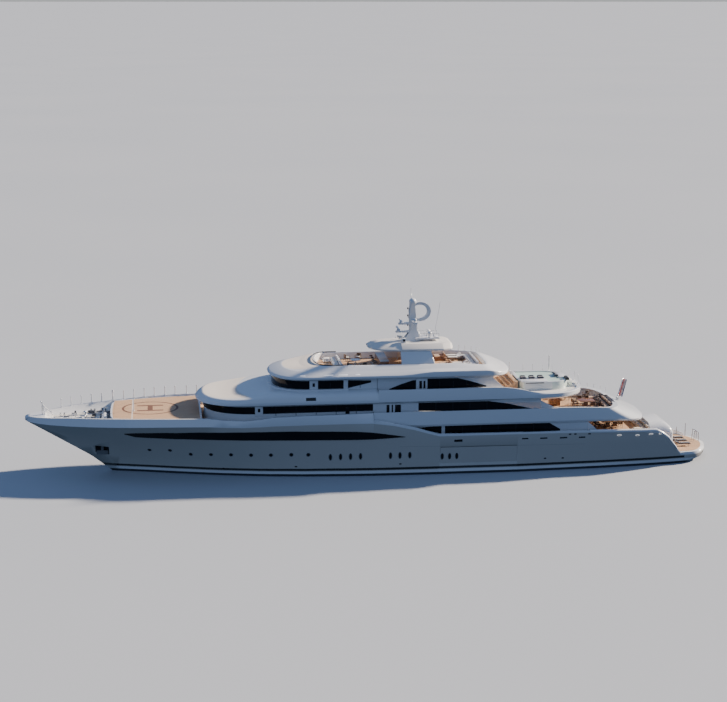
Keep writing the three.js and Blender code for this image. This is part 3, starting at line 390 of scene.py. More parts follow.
def teakParts(paint):
    # colour, roughness and height of laid teak that runs fore and aft
    look = teakLook
    across = paint.y / (look["plank"] * shipScale)
    row = paint.wholePart(across)
    edge = paint.stripes(across) > 0.5 - look["caulk"] / 2
    onward = paint.x / (look["length"] * shipScale) + row * look["stagger"]
    seam = paint.most(edge, paint.stripes(onward) > 0.5 - look["butt"])
    board = paint.wire("ShaderNodeCombineXYZ", {}, {0: paint.wholePart(onward), 1: row})
    shade = paint.wire("ShaderNodeTexWhiteNoise", {}, {"Vector": board}, "Value")
    grain = paint.noise(14, 4, paint.stretched(1, 9, 1))
    tone = shade * 0.55 + grain * 0.45
    colour = paint.mixed(seam * 0.75, paint.mixed(tone, *tones["teak"]), look["black"])
    return colour, 0.55 + grain * 0.2, tone * 0.3 - seam


def laidTeak():
    paint = Paint("laid_teak", tones["teak"][0], 0.6)
    return paint.finished(*teakParts(paint), teakLook["depth"])


# the round deck's marks in ship metres: the circle, its H and a line across the deck
landing = {
    "x": 24.8, "y": -0.3, "radius": 3.0, "line": 0.13, "reach": 1.45, "half": 1.2, "cross": 26.75, "crossHalf": 0.06,
}
landingTones = {"marks": (0.13, 0.045, 0.025), "cross": (0.85, 0.85, 0.84)}


def landingTeak():
    # laid teak with a plain landing circle, its H and a white cross line
    spot = {key: value * shipScale for key, value in landing.items()}
    paint = Paint("landing_teak", tones["teak"][0], 0.6)
    colour, roughness, height = teakParts(paint)
    dx, dy, line = paint.x - spot["x"], paint.y - spot["y"], spot["line"]
    circle = abs(paint.root(dx * dx + dy * dy) - spot["radius"]) < line
    strokes = (abs(abs(dy) - spot["half"]) < line * 1.8) * (abs(dx) < spot["reach"])
    bar = (abs(dx) < line * 2.2) * (abs(dy) < spot["half"])
    colour = paint.mixed(paint.least(circle + strokes + bar, 1) * 0.9, colour, landingTones["marks"])
    cross = abs(paint.x - spot["cross"]) < spot["crossHalf"]
    colour = paint.mixed(cross * 0.6, colour, landingTones["cross"])
    return paint.finished(colour, roughness, height, teakLook["depth"])


def varnishedWood():
    paint = Paint("varnished_wood", tones["varnish"][0], 0.25, Coat_Roughness=0.08, Coat_Weight=0.6)
    grain = paint.noise(6, 6, paint.stretched(1, 1, 7))
    return paint.finished(paint.mixed(grain, *tones["varnish"]), 0.2 + grain * 0.15, grain)


def metal(name, tone, rough, scale):
    paint = Paint(name, tones[tone][0], rough, Metallic=1.0)
    worn = paint.noise(scale, 5)
    return paint.finished(paint.mixed(worn, *tones[tone]), rough + worn * 0.15, worn, 0.0006)


def roughCoat(name, tone, rough, scale, **constants):
    paint = Paint(name, tones[tone][0], rough, **constants)
    blotch = paint.noise(scale, 6)
    return paint.finished(paint.mixed(blotch, *tones[tone]), rough + blotch * 0.1, blotch, 0.002)


def wovenCloth(name, tone):
    paint = Paint(name, tones[tone][0], 0.9, Sheen_Weight=0.3, Sheen_Roughness=0.5)
    threads = 420  # in a metre
    weave = paint.stripes(paint.x * threads) + paint.stripes((paint.y + paint.z) * threads)
    cloud = paint.noise(3, 4)
    colour = paint.mixed(cloud * 0.7 + weave * 0.3, *tones[tone])
    return paint.finished(colour, 0.82 + cloud * 0.12, weave * 0.3 + cloud, 0.002)


tileLook = {"size": 0.05, "joint": 0.04, "grout": (0.75, 0.78, 0.76)}  # the joint is a share of half a tile's pitch


def poolTile():
    paint = Paint("pool_tile", tones["tile"][0], 0.15, Coat_Weight=0.5)
    line = (paint.stripes(paint.x / tileLook["size"]) > 0.5 - tileLook["joint"])
    line = line + (paint.stripes(paint.y / tileLook["size"]) > 0.5 - tileLook["joint"])
    tint = paint.noise(9, 2)
    colour = paint.mixed(paint.least(line, 1), paint.mixed(tint, *tones["tile"]), tileLook["grout"])
    return paint.finished(colour, 0.12 + tint * 0.1)


def water():
    paint = Paint("pool_water", tones["water"][0], 0.06, IOR=1.33)
    ripple = paint.noise(5, 3)
    return paint.finished(paint.mixed(ripple, *tones["water"]), 0.05 + ripple * 0.05, ripple, 0.01)


# three plain bands across the fly, and where the second and the third begin
flagLook = {"bands": [(0.55, 0.04, 0.05), (0.75, 0.75, 0.74), (0.02, 0.05, 0.22)], "starts": (0.36, 0.68)}


def flagCloth():
    # the bands follow the piece's own map
    first, second, third = flagLook["bands"]
    paint = Paint("flag_cloth", first, 0.85, Sheen_Weight=0.3)
    fly = paint.split(paint.wire("ShaderNodeUVMap", {"uv_map": "cloth"}))[0]
    weave = paint.stripes(fly * 300)
    colour = paint.mixed(fly > flagLook["starts"][0], first, second)
    colour = paint.mixed(fly > flagLook["starts"][1], colour, third)
    return paint.finished(colour, 0.8 + weave * 0.15, weave, 0.0004)


makeCamera()
makeLight()
looks = {
    "white": whitePaint(),
    "hull": hullPaint(),
    "glass": darkGlass(),
    "cream": creamPaint(),
    "teak": laidTeak(),
    "landing": landingTeak(),
    "wood": varnishedWood(),
    "tile": poolTile(),
    "water": water(),
    "roof": patchedPaint("roof_paint"),
    "sunRoof": patchedPaint("sun_deck_paint"),
    "steel": metal("stainless", "steel", 0.18, 8),
    "bronze": metal("bronze", "bronze", 0.28, 6),
    "iron": roughCoat("galvanised", "iron", 0.5, 9),
    "bottom": roughCoat("antifouling", "bottom", 0.55, 2),
    "machinery": roughCoat("machinery_paint", "machinery", 0.5, 8),
    "black": roughCoat("black_rubber", "rubber", 0.45, 6),
    # glows though no lamp lights it: painted glints on the fairleads' steel rims and on the dashes along the sun deck's
    # side
    "lamp": roughCoat("lamp_glass", "lamp", 0.15, 9, Emission_Color=(1, 0.97, 0.92, 1), Emission_Strength=0.65),
    "cloth": wovenCloth("beige_cloth", "beige"),
    "navy": wovenCloth("navy_cloth", "navy"),
    "tan": wovenCloth("tan_cloth", "tan"),
    "brown": wovenCloth("brown_wicker", "wicker"),
    "linen": wovenCloth("white_linen", "linen"),
    "flag": flagCloth(),
}
nodeLooks = {
    "hull": "hull", "garage_door": "hull", "hardtop": "cream", "round_deck": "teak", "windlass": "steel",
    "jackstaff": "steel", "ensign_staff": "steel", "anchor": "iron", "propeller": "bronze", "rudder": "bottom",
    "stabiliser": "bottom", "shaft_bracket": "bottom", "spa_pool": "tile", "ensign": "flag",
}


def lookOf(name):
    if "glass" in name or "deck_door" in name:
        return "glass"
    if "settee" in name:
        return "cloth"
    if name.endswith("_table") or name.endswith("_bar"):
        return "wood"
    for start, look in nodeLooks.items():
        if name.startswith(start) and not name.startswith("hull_glass"):
            return look
    return "white"


for name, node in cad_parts.items():
    node.data.materials.clear()
    node.data.materials.append(looks[lookOf(name)])
print("materials done")


def settled(name, bm, look, body="ship", stands=(), sharp=32, extra=()):
    # turns a bmesh into a finished piece that rides on a body
    mesh = bpy.data.meshes.new(name)
    bm.to_mesh(mesh)
    bm.free()
    obj = bpy.data.objects.new(name, mesh)
    bpy.context.scene.collection.objects.link(obj)
    for each in (look, *extra):
        mesh.materials.append(looks[each])
    mesh.shade_smooth()
    mesh.set_sharp_from_angle(angle=math.radians(sharp))
    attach(obj, body)
    if stands:
        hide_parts(*stands)
    return obj


def outward(bm):
    bmesh.ops.remove_doubles(bm, verts=bm.verts, dist=1e-5)
    bmesh.ops.recalc_face_normals(bm, faces=bm.faces)


def vertsOf(geom):
    return [item for item in geom if isinstance(item, bmesh.types.BMVert)]


def edgesOf(verts):
    return list(dict.fromkeys(edge for vert in verts for edge in vert.link_edges))


def nodeMesh(name, flatten=True):
    # a CAD node's own shape, merged, with its flat faces whole again
    bm = bmesh.new()
    bm.from_mesh(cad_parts[name].data)
    bmesh.ops.remove_doubles(bm, verts=bm.verts, dist=1e-4)
    if flatten:
        bmesh.ops.dissolve_limit(bm, angle_limit=math.radians(0.5), verts=bm.verts, edges=bm.edges)
    return bm


def cutAcross(bm, faces, x):
    # cuts some faces where the plane at x crosses them
    edges = dict.fromkeys(edge for face in faces for edge in face.edges)
    verts = dict.fromkeys(vert for face in faces for vert in face.verts)
    bmesh.ops.bisect_plane(bm, geom=[*faces, *edges, *verts], plane_co=at(x, 0, 0), plane_no=(1, 0, 0))


def painted(bm, before, look):
    for face in bm.faces:
        if face not in before:
            face.material_index = look


def rounded(bm, edges, offset, steps=2):
    bmesh.ops.bevel(
        bm, geom=edges, offset=offset * shipScale, segments=steps, profile=0.5, affect="EDGES", material=-1,
        clamp_overlap=True,
    )


def block(bm, low, high, soft=0.0, look=0):
    before = set(bm.faces)
    low, high = zip(*(sorted(ends) for ends in zip(low, high)))
    size = at(*(h - l for l, h in zip(low, high)))
    place = Matrix.Translation((at(*low) + at(*high)) / 2) @ Matrix.Diagonal((*size, 1))
    verts = bmesh.ops.create_cube(bm, size=1, matrix=place)["verts"]
    if soft:
        rounded(bm, edgesOf(verts), soft)
    if look:
        painted(bm, before, look)


def rod(bm, start, end, radius, tip=None, sides=8, look=0):
    before = set(bm.faces)
    low, high = at(*start), at(*end)
    run = high - low
    place = Matrix.Translation((low + high) / 2) @ run.to_track_quat("Z", "Y").to_matrix().to_4x4()
    bmesh.ops.create_cone(
        bm, cap_ends=True, segments=sides, radius1=radius * shipScale,
        radius2=(radius if tip is None else tip) * shipScale, depth=run.length, matrix=place,
    )
    if look:
        painted(bm, before, look)


def globe(bm, centre, radius, stretch=(1, 1, 1), rings=10):
    place = Matrix.Translation(at(*centre)) @ Matrix.Diagonal((*stretch, 1))
    bmesh.ops.create_uvsphere(bm, u_segments=rings * 2, v_segments=rings, radius=radius * shipScale, matrix=place)


def bothSides(bm):
    # adds the starboard twin of everything made so far
    twin = bmesh.ops.duplicate(bm, geom=bm.verts[:] + bm.edges[:] + bm.faces[:])["geom"]
    bmesh.ops.scale(bm, verts=vertsOf(twin), vec=(1, -1, 1))
    bmesh.ops.reverse_faces(bm, faces=[item for item in twin if isinstance(item, bmesh.types.BMFace)])


def fitted(meshes, rows):
    # builds rows of mesh name, kind, pair or single, and the values that the kind takes
    for name, kind, pair, *values in rows:
        spots = 1 if kind is globe else 2
        for sign in (-1, 1) if pair else (1,):
            points = [(x, y * sign, z) for x, y, z in values[:spots]]
            kind(meshes[name], *points, *values[spots:])


def outline(spec):
    # half of a deck's plan from bow to stern, as the CAD's own outlines but with closer steps
    s = {"nose": 0, "tail": 0, "nosePower": 2.3, "tailPower": 2.3, "halfAft": spec["half"], "side": 16, "curve": 22}
    s.update(spec)
    start, end = s["fore"] - s["nose"], s["aft"] + s["tail"]
    points = [] if s["nose"] else [(s["fore"], 0), (s["fore"], s["half"])]
    for i in range(s["curve"] + 1 if s["nose"] else 0):
        turn = i / s["curve"] * math.pi / 2
        x = start + s["nose"] * max(math.cos(turn), 0) ** (2 / s["nosePower"])
        points.append((x, s["half"] * math.sin(turn) ** (2 / s["nosePower"])))
    for i in range(1, s["side"] + 1):
        share = i / s["side"]
        points.append((start + (end - start) * share, s["half"] + (s["halfAft"] - s["half"]) * share))
    for i in range(1, s["curve"] + 1 if s["tail"] else 1):
        turn = i / s["curve"] * math.pi / 2
        x = end - s["tail"] * math.sin(turn) ** (2 / s["tailPower"])
        points.append((x, s["halfAft"] * max(math.cos(turn), 0) ** (2 / s["tailPower"])))
    if not s["tail"]:
        points.append((end, 0))
    return points


def ring(spec, height):
    half = outline(spec)
    plan = half + [(x, -y) for x, y in half[-2:0:-1]]
    return [(x, y, height(x) if callable(height) else height) for x, y in plan]


def loft(bm, rings, soften=(), offset=0.05, floor=None):
    # bridges rings of the same number of points, closes the ends and rounds the rings that are named
    loops = []
    for points in rings:
        verts = [bm.verts.new(at(*point)) for point in points]
        loops.append([bm.edges.new(pair) for pair in zip(verts, verts[1:] + verts[:1])])
    for lower, upper in zip(loops, loops[1:]):
        bmesh.ops.bridge_loops(bm, edges=lower + upper)
    bmesh.ops.contextual_create(bm, geom=loops[0])
    made = bmesh.ops.contextual_create(bm, geom=loops[-1])
    for face in made["faces"] if floor is not None else ():
        face.material_index = floor
    outward(bm)
    edges = [edge for i in soften for edge in loops[i] if edge.is_valid]
    if edges:
        rounded(bm, edges, offset, 3)


def shifted(spec, narrow=0.0, short=0.0):
    return {
        **spec, "half": spec["half"] - narrow, "halfAft": spec.get("halfAft", spec["half"]) - narrow,
        "aft": spec["aft"] + short,
    }


# hull, from the CAD's blocks welded into one skin
hullBuild = {
    "blocks": ["hull_bow", "hull_fore", "hull_midship", "hull_stern"],
    "joints": [16, 0.59, -16],  # planes where two blocks meet
    "mooring": 24,  # the foredeck is cream forward of this, under the round deck
    # the pockets' dark inside is painted shade in the recess
    "pocket": ((29.38, 2.03), (30.92, 3.17)),  # x and z of the anchor pockets, which are dark inside
    "knuckle": [  # white over this line, hull grey under it
        (38.5, 6.04), (36.3, 5.92), (33.5, 5.95), (29.1, 6.05), (25, 6.18), (22, 6.25), (18.6, 6.22), (17, 6.12),
        (14.8, 6.02), (11.6, 6.1), (8, 6.12), (3, 6.12), (0.6, 6.08), (-1.6, 5.75), (-3.9, 5.2), (-5.6, 4.7),
        (-6.7, 4.4), (-15.5, 4.4), (-20, 4.35), (-25, 4.25), (-29.5, 4.1), (-31.4, 3.93), (-32.2, 3.6), (-32.95, 3.0),
        (-33.6, 2.2), (-34.2, 1.45), (-34.5, 1.05), (-38.5, 1.05),
    ],
}


def inPocket(spot):
    (x0, z0), (x1, z1) = hullBuild["pocket"]
    return x0 < spot.x < x1 and z0 < spot.z < z1


def hullFace(face):
    # 0 hull grey, 1 teak, 2 white, 3 cream, 4 dark: by where a face lies and how it looks up
    middle = face.calc_center_median() / shipScale
    # anchor pocket faces take the near-black finish as painted shade
    if all(inPocket(vert.co / shipScale) for vert in face.verts):
        return 4
    up = face.normal.z
    well = up > 0.9 and 5.8 < middle.z < 6.1 and 0.6 < middle.x < 36.3
    if well and middle.x > hullBuild["mooring"]:
        return 3
    main = up > 0.9 and abs(middle.z - 3.4) < 0.03 and middle.x > -31.5
    stair = 0.6 < up < 0.95 and -33.8 < middle.x < -31.3 and middle.z < 3.4 and abs(middle.y) < 5.3
    if well or main or stair:
        return 1
    return 2 if middle.z > along(hullBuild["knuckle"], middle.x) + 0.01 or middle.x < -33.9 and up > 0.5 else 0


def makeHull():
    bm = bmesh.new()
    for name in hullBuild["blocks"]:
        bm.from_mesh(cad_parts[name].data)
    for joint in hullBuild["joints"]:
        plane = joint * shipScale
        for vert in bm.verts:
            if abs(vert.co.x - plane) < 0.0005:
                vert.co.x = plane
        inside = [face for face in bm.faces if all(abs(vert.co.x - plane) < 1e-6 for vert in face.verts)]
        bmesh.ops.delete(bm, geom=inside, context="FACES")
    bmesh.ops.remove_doubles(bm, verts=bm.verts, dist=6e-4)
    deck = [face for face in bm.faces if face.normal.z > 0.9 and 2.9 < face.calc_center_median().z < 3.05]
    cutAcross(bm, deck, hullBuild["mooring"])
    for face in bm.faces:
        face.material_index = hullFace(face)
    tree = BVHTree.FromBMesh(bm)
    settled("hull_skin", bm, "hull", stands=hullBuild["blocks"], sharp=26, extra=["teak", "white", "cream", "bottom"])
    return tree


upperDeck = {
    "plan": {"fore": 0.55, "aft": -30.6, "half": 6.055, "halfAft": 5.55, "tail": 3.4, "tailPower": 2.8},
    "rim": [(0.6, 7.12), (-19, 7.04), (-22, 7.0), (-24.5, 6.92), (-26.5, 6.8), (-27.7, 6.7)],
    "low": 5.4,
    "lip": 0.22,
    "floor": 5.9,
    "wall": 0.16,
    "cap": 0.4,
    "capEdges": [(0, -0.03), (0, 0.045), (1, 0.045), (1, -0.03)],  # share of the width inboard, and height
}


def makeUpperDeck():
    d = upperDeck

    def shell(rise):
        return {**d["plan"], "aft": d["plan"]["aft"] + 2.9 * rise, "tail": 3.4 - 0.8 * rise}

    def side(rise):
        def height(x):
            low = d["low"] - 0.2 * eased(-x, 27, 30.6) + d["lip"]
            return low + (along(d["rim"], x) - low) * rise
        return height

    bm = bmesh.new()
    loft(bm, [
        ring(shifted(shell(0), 0.12), lambda x: side(0)(x) - d["lip"]),
        ring(shell(0), side(0)),
        ring(shell(0.45), side(0.42)),
        ring(shifted(shell(1), 0.05), side(1)),
        ring(shifted(shell(1), d["wall"], d["wall"]), side(1)),
        ring(shifted(shell(1), d["wall"], d["wall"]), d["floor"]),
    ], soften=(0, 1, 3, 4), offset=0.06, floor=1)
    settled("upper_deck_shell", bm, "white", stands=["upper_deck"], extra=["teak"])
    bm = bmesh.new()
    half = [(x, y) for x, y in outline(shell(1)) if x < -19]
    for sign in (-1, 1):
        loft(bm, [
            [
                (x + inside * 0.5, sign * (y - 0.03 - d["cap"] * inside), side(1)(x) + rise)
                for inside, rise in d["capEdges"]
            ]
            for x, y in half if y > 2.2
        ])
    settled("upper_deck_cap_rail", bm, "white")


bridgeDeck = {
    "plan": {"fore": -0.002, "aft": -23.6, "half": 6.014, "halfAft": 5.85, "tail": 5.2},
    "rim": [(0, 9.58), (-13.5, 9.6), (-15.5, 9.4), (-17, 9.0), (-18.4, 8.8), (-23.6, 8.76)],
    "edge": [(0.35, 8.101), (0, 8.3), (0, 8.72)],  # how far in from the plan, and height
    "floor": 8.6,
    "wall": 0.34,
    # the cream aft of this is painted sunlight on the deck round the pool
    "pale": -16.0,  # the floor is cream aft of this, round the pool
}


def makeBridgeDeck():
    d = bridgeDeck
    plan = d["plan"]
    inner = shifted(plan, d["wall"], d["wall"])

    def rim(x):
        return along(d["rim"], x)

    bm = bmesh.new()
    loft(bm, [
        *(ring(shifted(plan, inset), height) for inset, height in d["edge"]),
        ring(shifted(plan, 0.12), rim),
        ring(inner, rim),
        ring(inner, d["floor"]),
    ], soften=(0, 1, 3, 4), offset=0.07, floor=1)
    cutAcross(bm, [face for face in bm.faces if face.material_index == 1], d["pale"])
    for face in bm.faces:
        if face.material_index == 1 and face.calc_center_median().x < d["pale"] * shipScale:
            face.material_index = 2
    settled("bridge_deck_shell", bm, "white", stands=["bridge_deck"], extra=["teak", "cream"])


roof = {
    "levels": [  # fore, half, height, or how far it rises aft when under 1
        (19.3, 5.7, 8.101), (19.8, 6.05, 8.25), (19.6, 6.1, 8.5), (19.0, 5.95, 0.2), (17.9, 5.6, 0.5),
        (16.4, 5.1, 0.68), (14.5, 4.0, 0.72), (12.6, 2.0, 0.72),
    ],
}


def roofHeight(rise):
    return lambda x: rise if rise > 1 else 8.85 + rise * eased(-x, -17.5, -10.5)


def makeRoof():
    bm = bmesh.new()
    loft(bm, [
        ring({"fore": fore, "aft": 0.0, "half": half, "nose": 6, "nosePower": 2.4}, roofHeight(rise))
        for fore, half, rise in roof["levels"]
    ], soften=(0, 2, 3), offset=0.12)
    tree = BVHTree.FromBMesh(bm)
    settled("upper_house_roof_shell", bm, "roof", stands=["upper_house_roof"], sharp=40)
    return tree


sunDeck = {
    "rings": [  # fore, half, nose, aft, tail and its power, then level, rise, drop and where the drop ends
        ((11.3, 4.95, 4.2, -14.6, 3.2, 2.2), (10.701, 0, 0, 15)),
        ((11.8, 5.5, 4.6, -15.3, 3.2, 2.2), (10.85, 0, 0.15, 15)),
        ((11.6, 5.5, 4.6, -15.25, 3.2, 2.2), (11.1, 0.36, 0.5, 15.3)),
        ((10.2, 4.75, 4.4, -14.4, 2.9, 2.2), (11.55, 0.1, 0.5, 14.5)),
    ],
    "top": (8.2, 4.05, 3.4, -12.8, 1.2, 3),
    "well": (6.4, 3.8, 1.6, -12.4, 0.8, 4),
    "coaming": [(9, 11.5), (6.3, 12.05), (-9, 12.05), (-12.9, 11.75)],
    "floor": 11.25,
}


def sunPlan(fore, half, nose, aft, tail, power):
    return {"fore": fore, "aft": aft, "half": half, "nose": nose, "tail": tail, "tailPower": power}


def sunLevel(base, rise, drop, end):
    return lambda x: base + rise * eased(-x, 2.7, 6.5) - drop * eased(-x, 12, end)


def makeSunDeck():
    d = sunDeck

    def coaming(x):
        return along(d["coaming"], x)

    bm = bmesh.new()
    loft(bm, [
        *(ring(sunPlan(*plan), sunLevel(*level)) for plan, level in d["rings"]),
        ring(sunPlan(*d["top"]), coaming),
        ring(sunPlan(*d["well"]), coaming),
        ring(sunPlan(*d["well"]), d["floor"]),
    ], soften=(1, 2, 3, 4, 5), offset=0.08, floor=1)
    tree = BVHTree.FromBMesh(bm)
    settled("sun_deck_shell", bm, "sunRoof", stands=["sun_deck"], extra=["teak"], sharp=40)
    return tree


hardtop = {"sections": [  # x, edge half, edge low, edge high, top half, top height
    (0.6, 1.0, 13.4, 13.5, 0.5, 13.62), (0.1, 2.0, 13.34, 13.5, 0.8, 13.85), (-1.0, 2.7, 13.3, 13.5, 1.1, 14.0),
    (-2.9, 3.05, 13.3, 13.5, 1.5, 14.0), (-2.95, 3.12, 13.3, 13.52, 2.3, 14.0), (-7.6, 3.1, 13.3, 13.5, 2.2, 14.0),
    (-8.5, 2.6, 13.32, 13.5, 1.8, 13.92), (-8.8, 2.0, 13.36, 13.5, 1.4, 13.8),
]}


def makeHardtop():
    bm = bmesh.new()
    loft(bm, [
        [(x, edge, low), (x, edge, high), (x, half, top), (x, -half, top), (x, -edge, high), (x, -edge, low)]
        for x, edge, low, high, half, top in hardtop["sections"]
    ])
    rounded(bm, [edge for edge in bm.edges if edge.calc_face_angle(0) > math.radians(14)], 0.07, 3)
    settled("hardtop_shell", bm, "cream", stands=["hardtop"], sharp=50)


def smoothCopy(node, look, sharp=32, body="ship", soften=0.0):
    # the CAD node's own shape, merged and smooth
    obj = settled(f"{node}_skin", nodeMesh(node), look, body=body, stands=[node], sharp=sharp)
    if soften:
        bevel = obj.modifiers.new("edges", "BEVEL")
        bevel.width = soften
        bevel.segments = 2
        bevel.limit_method = "ANGLE"
        bevel.angle_limit = math.radians(40)


hullTree = makeHull()
makeUpperDeck()
makeBridgeDeck()
roofTree = makeRoof()
sunDeckTree = makeSunDeck()
makeHardtop()
for node in ("transom", "wheelhouse", "upper_deck_house", "main_deck_house", "bridge_deck_house", "mast"):
    smoothCopy(node, "white", 34)
for side in ("port", "starboard"):
    smoothCopy(f"arch_leg_{side}", "white", 34, soften=0.03)
    smoothCopy(f"garage_door_{side}", "hull", 26, body=f"garage_door_{side}")
for node in ("upper_deck_glass", "wheelhouse_glass", "hull_glass_port", "hull_glass_starboard"):
    smoothCopy(node, "glass", 30)
print("shells done")


# windows: what divides the long dark bands, on both sides of the ship
windowTrim = {
    "upper": {
        "skin": 5.415,  # how far out the glass lies
        "white": [(13.47, 12.6, 6.95, 8.0), (0.56, -4.47, 6.78, 8.0)],  # fore, aft, low and high
        "dark": [  # the same, and how far in, how far out and how rounded
            (-0.93, -1.26, 5.95, 7.86, 0.04, 0.026, 0.015), (-1.5, -1.66, 5.95, 7.86, 0.04, 0.026, 0.015),
            (-1.87, -2.53, 5.95, 7.86, 0.04, 0.026, 0.015), (3.59, 3.15, 6.98, 7.74, 0.035, 0.035, 0.03),
            (13.16, 12.9, 7.4, 7.8, 0.02, 0.03, 0.02),
        ],
    },
    "wheelhouse": {
        "skin": 4.815,
        "white": [(7.46, 6.53, 9.6, 10.62), (3.73, 3.24, 9.6, 10.62)],
        "dark": [(7.13, 6.87, 9.95, 10.35, 0.02, 0.03, 0.02)],
    },
    "bridge": {
        "skin": 4.915,
        "white": [(-4.26, -5.53, 9.38, 10.6)],
        "dark": [(-4.62, -4.92, 9.5, 10.35, 0.02, 0.026, 0.015), (-5.08, -5.3, 9.5, 10.35, 0.02, 0.026, 0.015)],
    },
    "main": {"skin": 5.365, "white": [(-7.06, -7.45, 4.3, 5.34)], "dark": []},
}


def makeWindowTrim():
    white, dark = bmesh.new(), bmesh.new()
    for band in windowTrim.values():
        skin = band["skin"]
        for fore, aft, low, high in band["white"]:
            block(white, (aft, skin - 0.05, low), (fore, skin + 0.012, high), 0.02)
        for fore, aft, low, high, sunk, proud, soft in band["dark"]:
            block(dark, (aft, skin - sunk, low), (fore, skin + proud, high), soft)
    for bm, name, look in ((white, "window_pillars", "white"), (dark, "window_doors", "glass")):
        bothSides(bm)
        settled(name, bm, look)


makeWindowTrim()

# mullions: thin upright lines on the glass where two sheets meet, as half width, low, high and their places
mullions = [
    (5.414, 6.95, 7.98, (11.2, 9.0, 6.8, 4.6, 2.4, -6.4, -8.3, -10.2, -12.1)),
    (4.814, 9.7, 10.5, (5.2, 1.9)),
    (5.362, 4.36, 5.29, (-9.4, -11.4, -13.4, -15.4, -17.4)),
    (4.912, 9.5, 10.25, (-6.9, -8.4, -9.9)),
]


def makeMullions():
    bm = bmesh.new()
    for half, low, high, places in mullions:
        for x in places:
            block(bm, (x - 0.02, half - 0.03, low), (x + 0.02, half + 0.008, high), 0.004)
    bothSides(bm)
    settled("window_mullions", bm, "black")


makeMullions()


# portholes, slots and fairleads, set where the camera's line meets the hull
def landed(x, z, y=6.0, tree=None):
    start = at(*view["place"])
    return (tree or hullTree).ray_cast(start, (at(x, y, z) - start).normalized())[:2]


def disc(bm, place, normal, wide, high, thick, look=0, sides=24):
    # a flat disc on a surface, or a plate with rounded edges where it has four sides
    before = set(bm.faces)
    stand = Matrix.Translation(place) @ normal.to_track_quat("Z", "Y").to_matrix().to_4x4()
    size = Matrix.Diagonal((wide * shipScale, high * shipScale, thick * shipScale, 1))
    if sides == 4:
        verts = bmesh.ops.create_cube(bm, size=1, matrix=stand @ size)["verts"]
        rounded(bm, edgesOf(verts), min(thick, high) * 0.3)
    else:
        bmesh.ops.create_cone(bm, cap_ends=True, segments=sides, radius1=0.5, radius2=0.5, depth=1, matrix=stand @ size)
    painted(bm, before, look)


# places along the side as x and z, with the width and height where they vary
hullOpenings = {
    "round": [
        (24.94, 3.71), (22.74, 3.59), (20.51, 3.09), (18.33, 2.99), (16.16, 2.90), (13.99, 2.79), (11.83, 2.73),
        (9.60, 2.70), (7.74, 2.65),
    ],
    "oval": [
        (5.32, 2.3), (4.20, 2.3), (3.10, 2.3), (2.00, 2.3), (-1.31, 2.27), (-2.36, 2.27), (-3.45, 2.27),
    ],
    "ovalOnDoor": [(-7.06, 2.02), (-7.88, 2.02), (-8.68, 2.02)],
    "slot": [
        (-8.85, 3.75, 0.9, 0.26), (-16.34, 3.77, 0.7, 0.14), (-18.43, 3.76, 0.8, 0.14), (-20.67, 3.75, 0.8, 0.14),
        (-22.77, 3.74, 0.7, 0.14),
    ],
    "vent": [(-21.4, 4.12, 0.26, 0.14), (-22.0, 4.12, 0.26, 0.14), (-23.6, 4.1, 0.3, 0.14)],
    "drain": [(-18.62, 1.45), (-20.62, 1.43), (-2.4, 1.3), (9.1, 1.35), (17.0, 1.4), (-12.4, 1.25)],
    "fairlead": [(-27.03, 3.83, 0.527), (-29.10, 3.77, 0.4675), (-30.64, 3.86, 0.51), (-31.71, 3.86, 0.34)],
}
openingSizes = {  # width, height, thickness and look of the rim and of the glass
    "round": [(0.5, 0.5, 0.03, 1), (0.38, 0.38, 0.045, 0)],
    "oval": [(0.42, 0.84, 0.03, 1), (0.3, 0.7, 0.045, 0)],
    "ovalOnDoor": [(0.4, 0.8, 0.03, 1), (0.3, 0.68, 0.045, 0)],
}


def makeHullOpenings():
    bm = bmesh.new()
    for kind in ("round", "oval"):
        for spot in hullOpenings[kind]:
            for size in openingSizes[kind]:
                disc(bm, *landed(*spot), *size)
    for x, z, wide, high in hullOpenings["slot"]:
        disc(bm, *landed(x, z), wide + 0.05, high + 0.05, 0.02, 1, sides=4)
        disc(bm, *landed(x, z), wide, high, 0.035, sides=4)
    for x, z, wide, high in hullOpenings["vent"]:
        disc(bm, *landed(x, z), wide, high, 0.03, sides=4)
    for spot in hullOpenings["drain"]:
        disc(bm, *landed(*spot), 0.3, 0.16, 0.03, sides=14)
    for x, z, wide in hullOpenings["fairlead"]:
        # the fairleads' rims take the glowing glint finish: painted sun glints on polished steel
        disc(bm, *landed(x, z, 5.9), wide, 0.17, 0.07, 2)
        disc(bm, *landed(x, z, 5.9), wide - 0.14, 0.085, 0.09)
    bothSides(bm)
    settled("hull_openings", bm, "glass", extra=["steel", "lamp"])
    doorTree = BVHTree.FromBMesh(nodeMesh("garage_door_port", flatten=False))
    for side, sign in (("port", 1), ("starboard", -1)):
        bm = bmesh.new()
        for spot in hullOpenings["ovalOnDoor"]:
            place, normal = (Vector((v.x, v.y * sign, v.z)) for v in landed(*spot, tree=doorTree))
            for size in openingSizes["ovalOnDoor"]:
                disc(bm, place, normal, *size)
        settled(f"garage_door_ports_{side}", bm, "glass", body=f"garage_door_{side}", extra=["steel"])


makeHullOpenings()
print("windows done")


def ribbon(bm, points, rise, thick):
    # an upright strip along a line of points, thickened by solidify
    verts = [bm.verts.new(at(*point)) for point in points]
    edges = [bm.edges.new(pair) for pair in zip(verts, verts[1:])]
    raised = bmesh.ops.extrude_edge_only(bm, edges=edges)["geom"]
    bmesh.ops.translate(bm, verts=vertsOf(raised), vec=(0, 0, rise * shipScale))
    bmesh.ops.recalc_face_normals(bm, faces=bm.faces)
    bmesh.ops.solidify(bm, geom=bm.faces[:], thickness=thick * shipScale)
    bmesh.ops.recalc_face_normals(bm, faces=bm.faces)


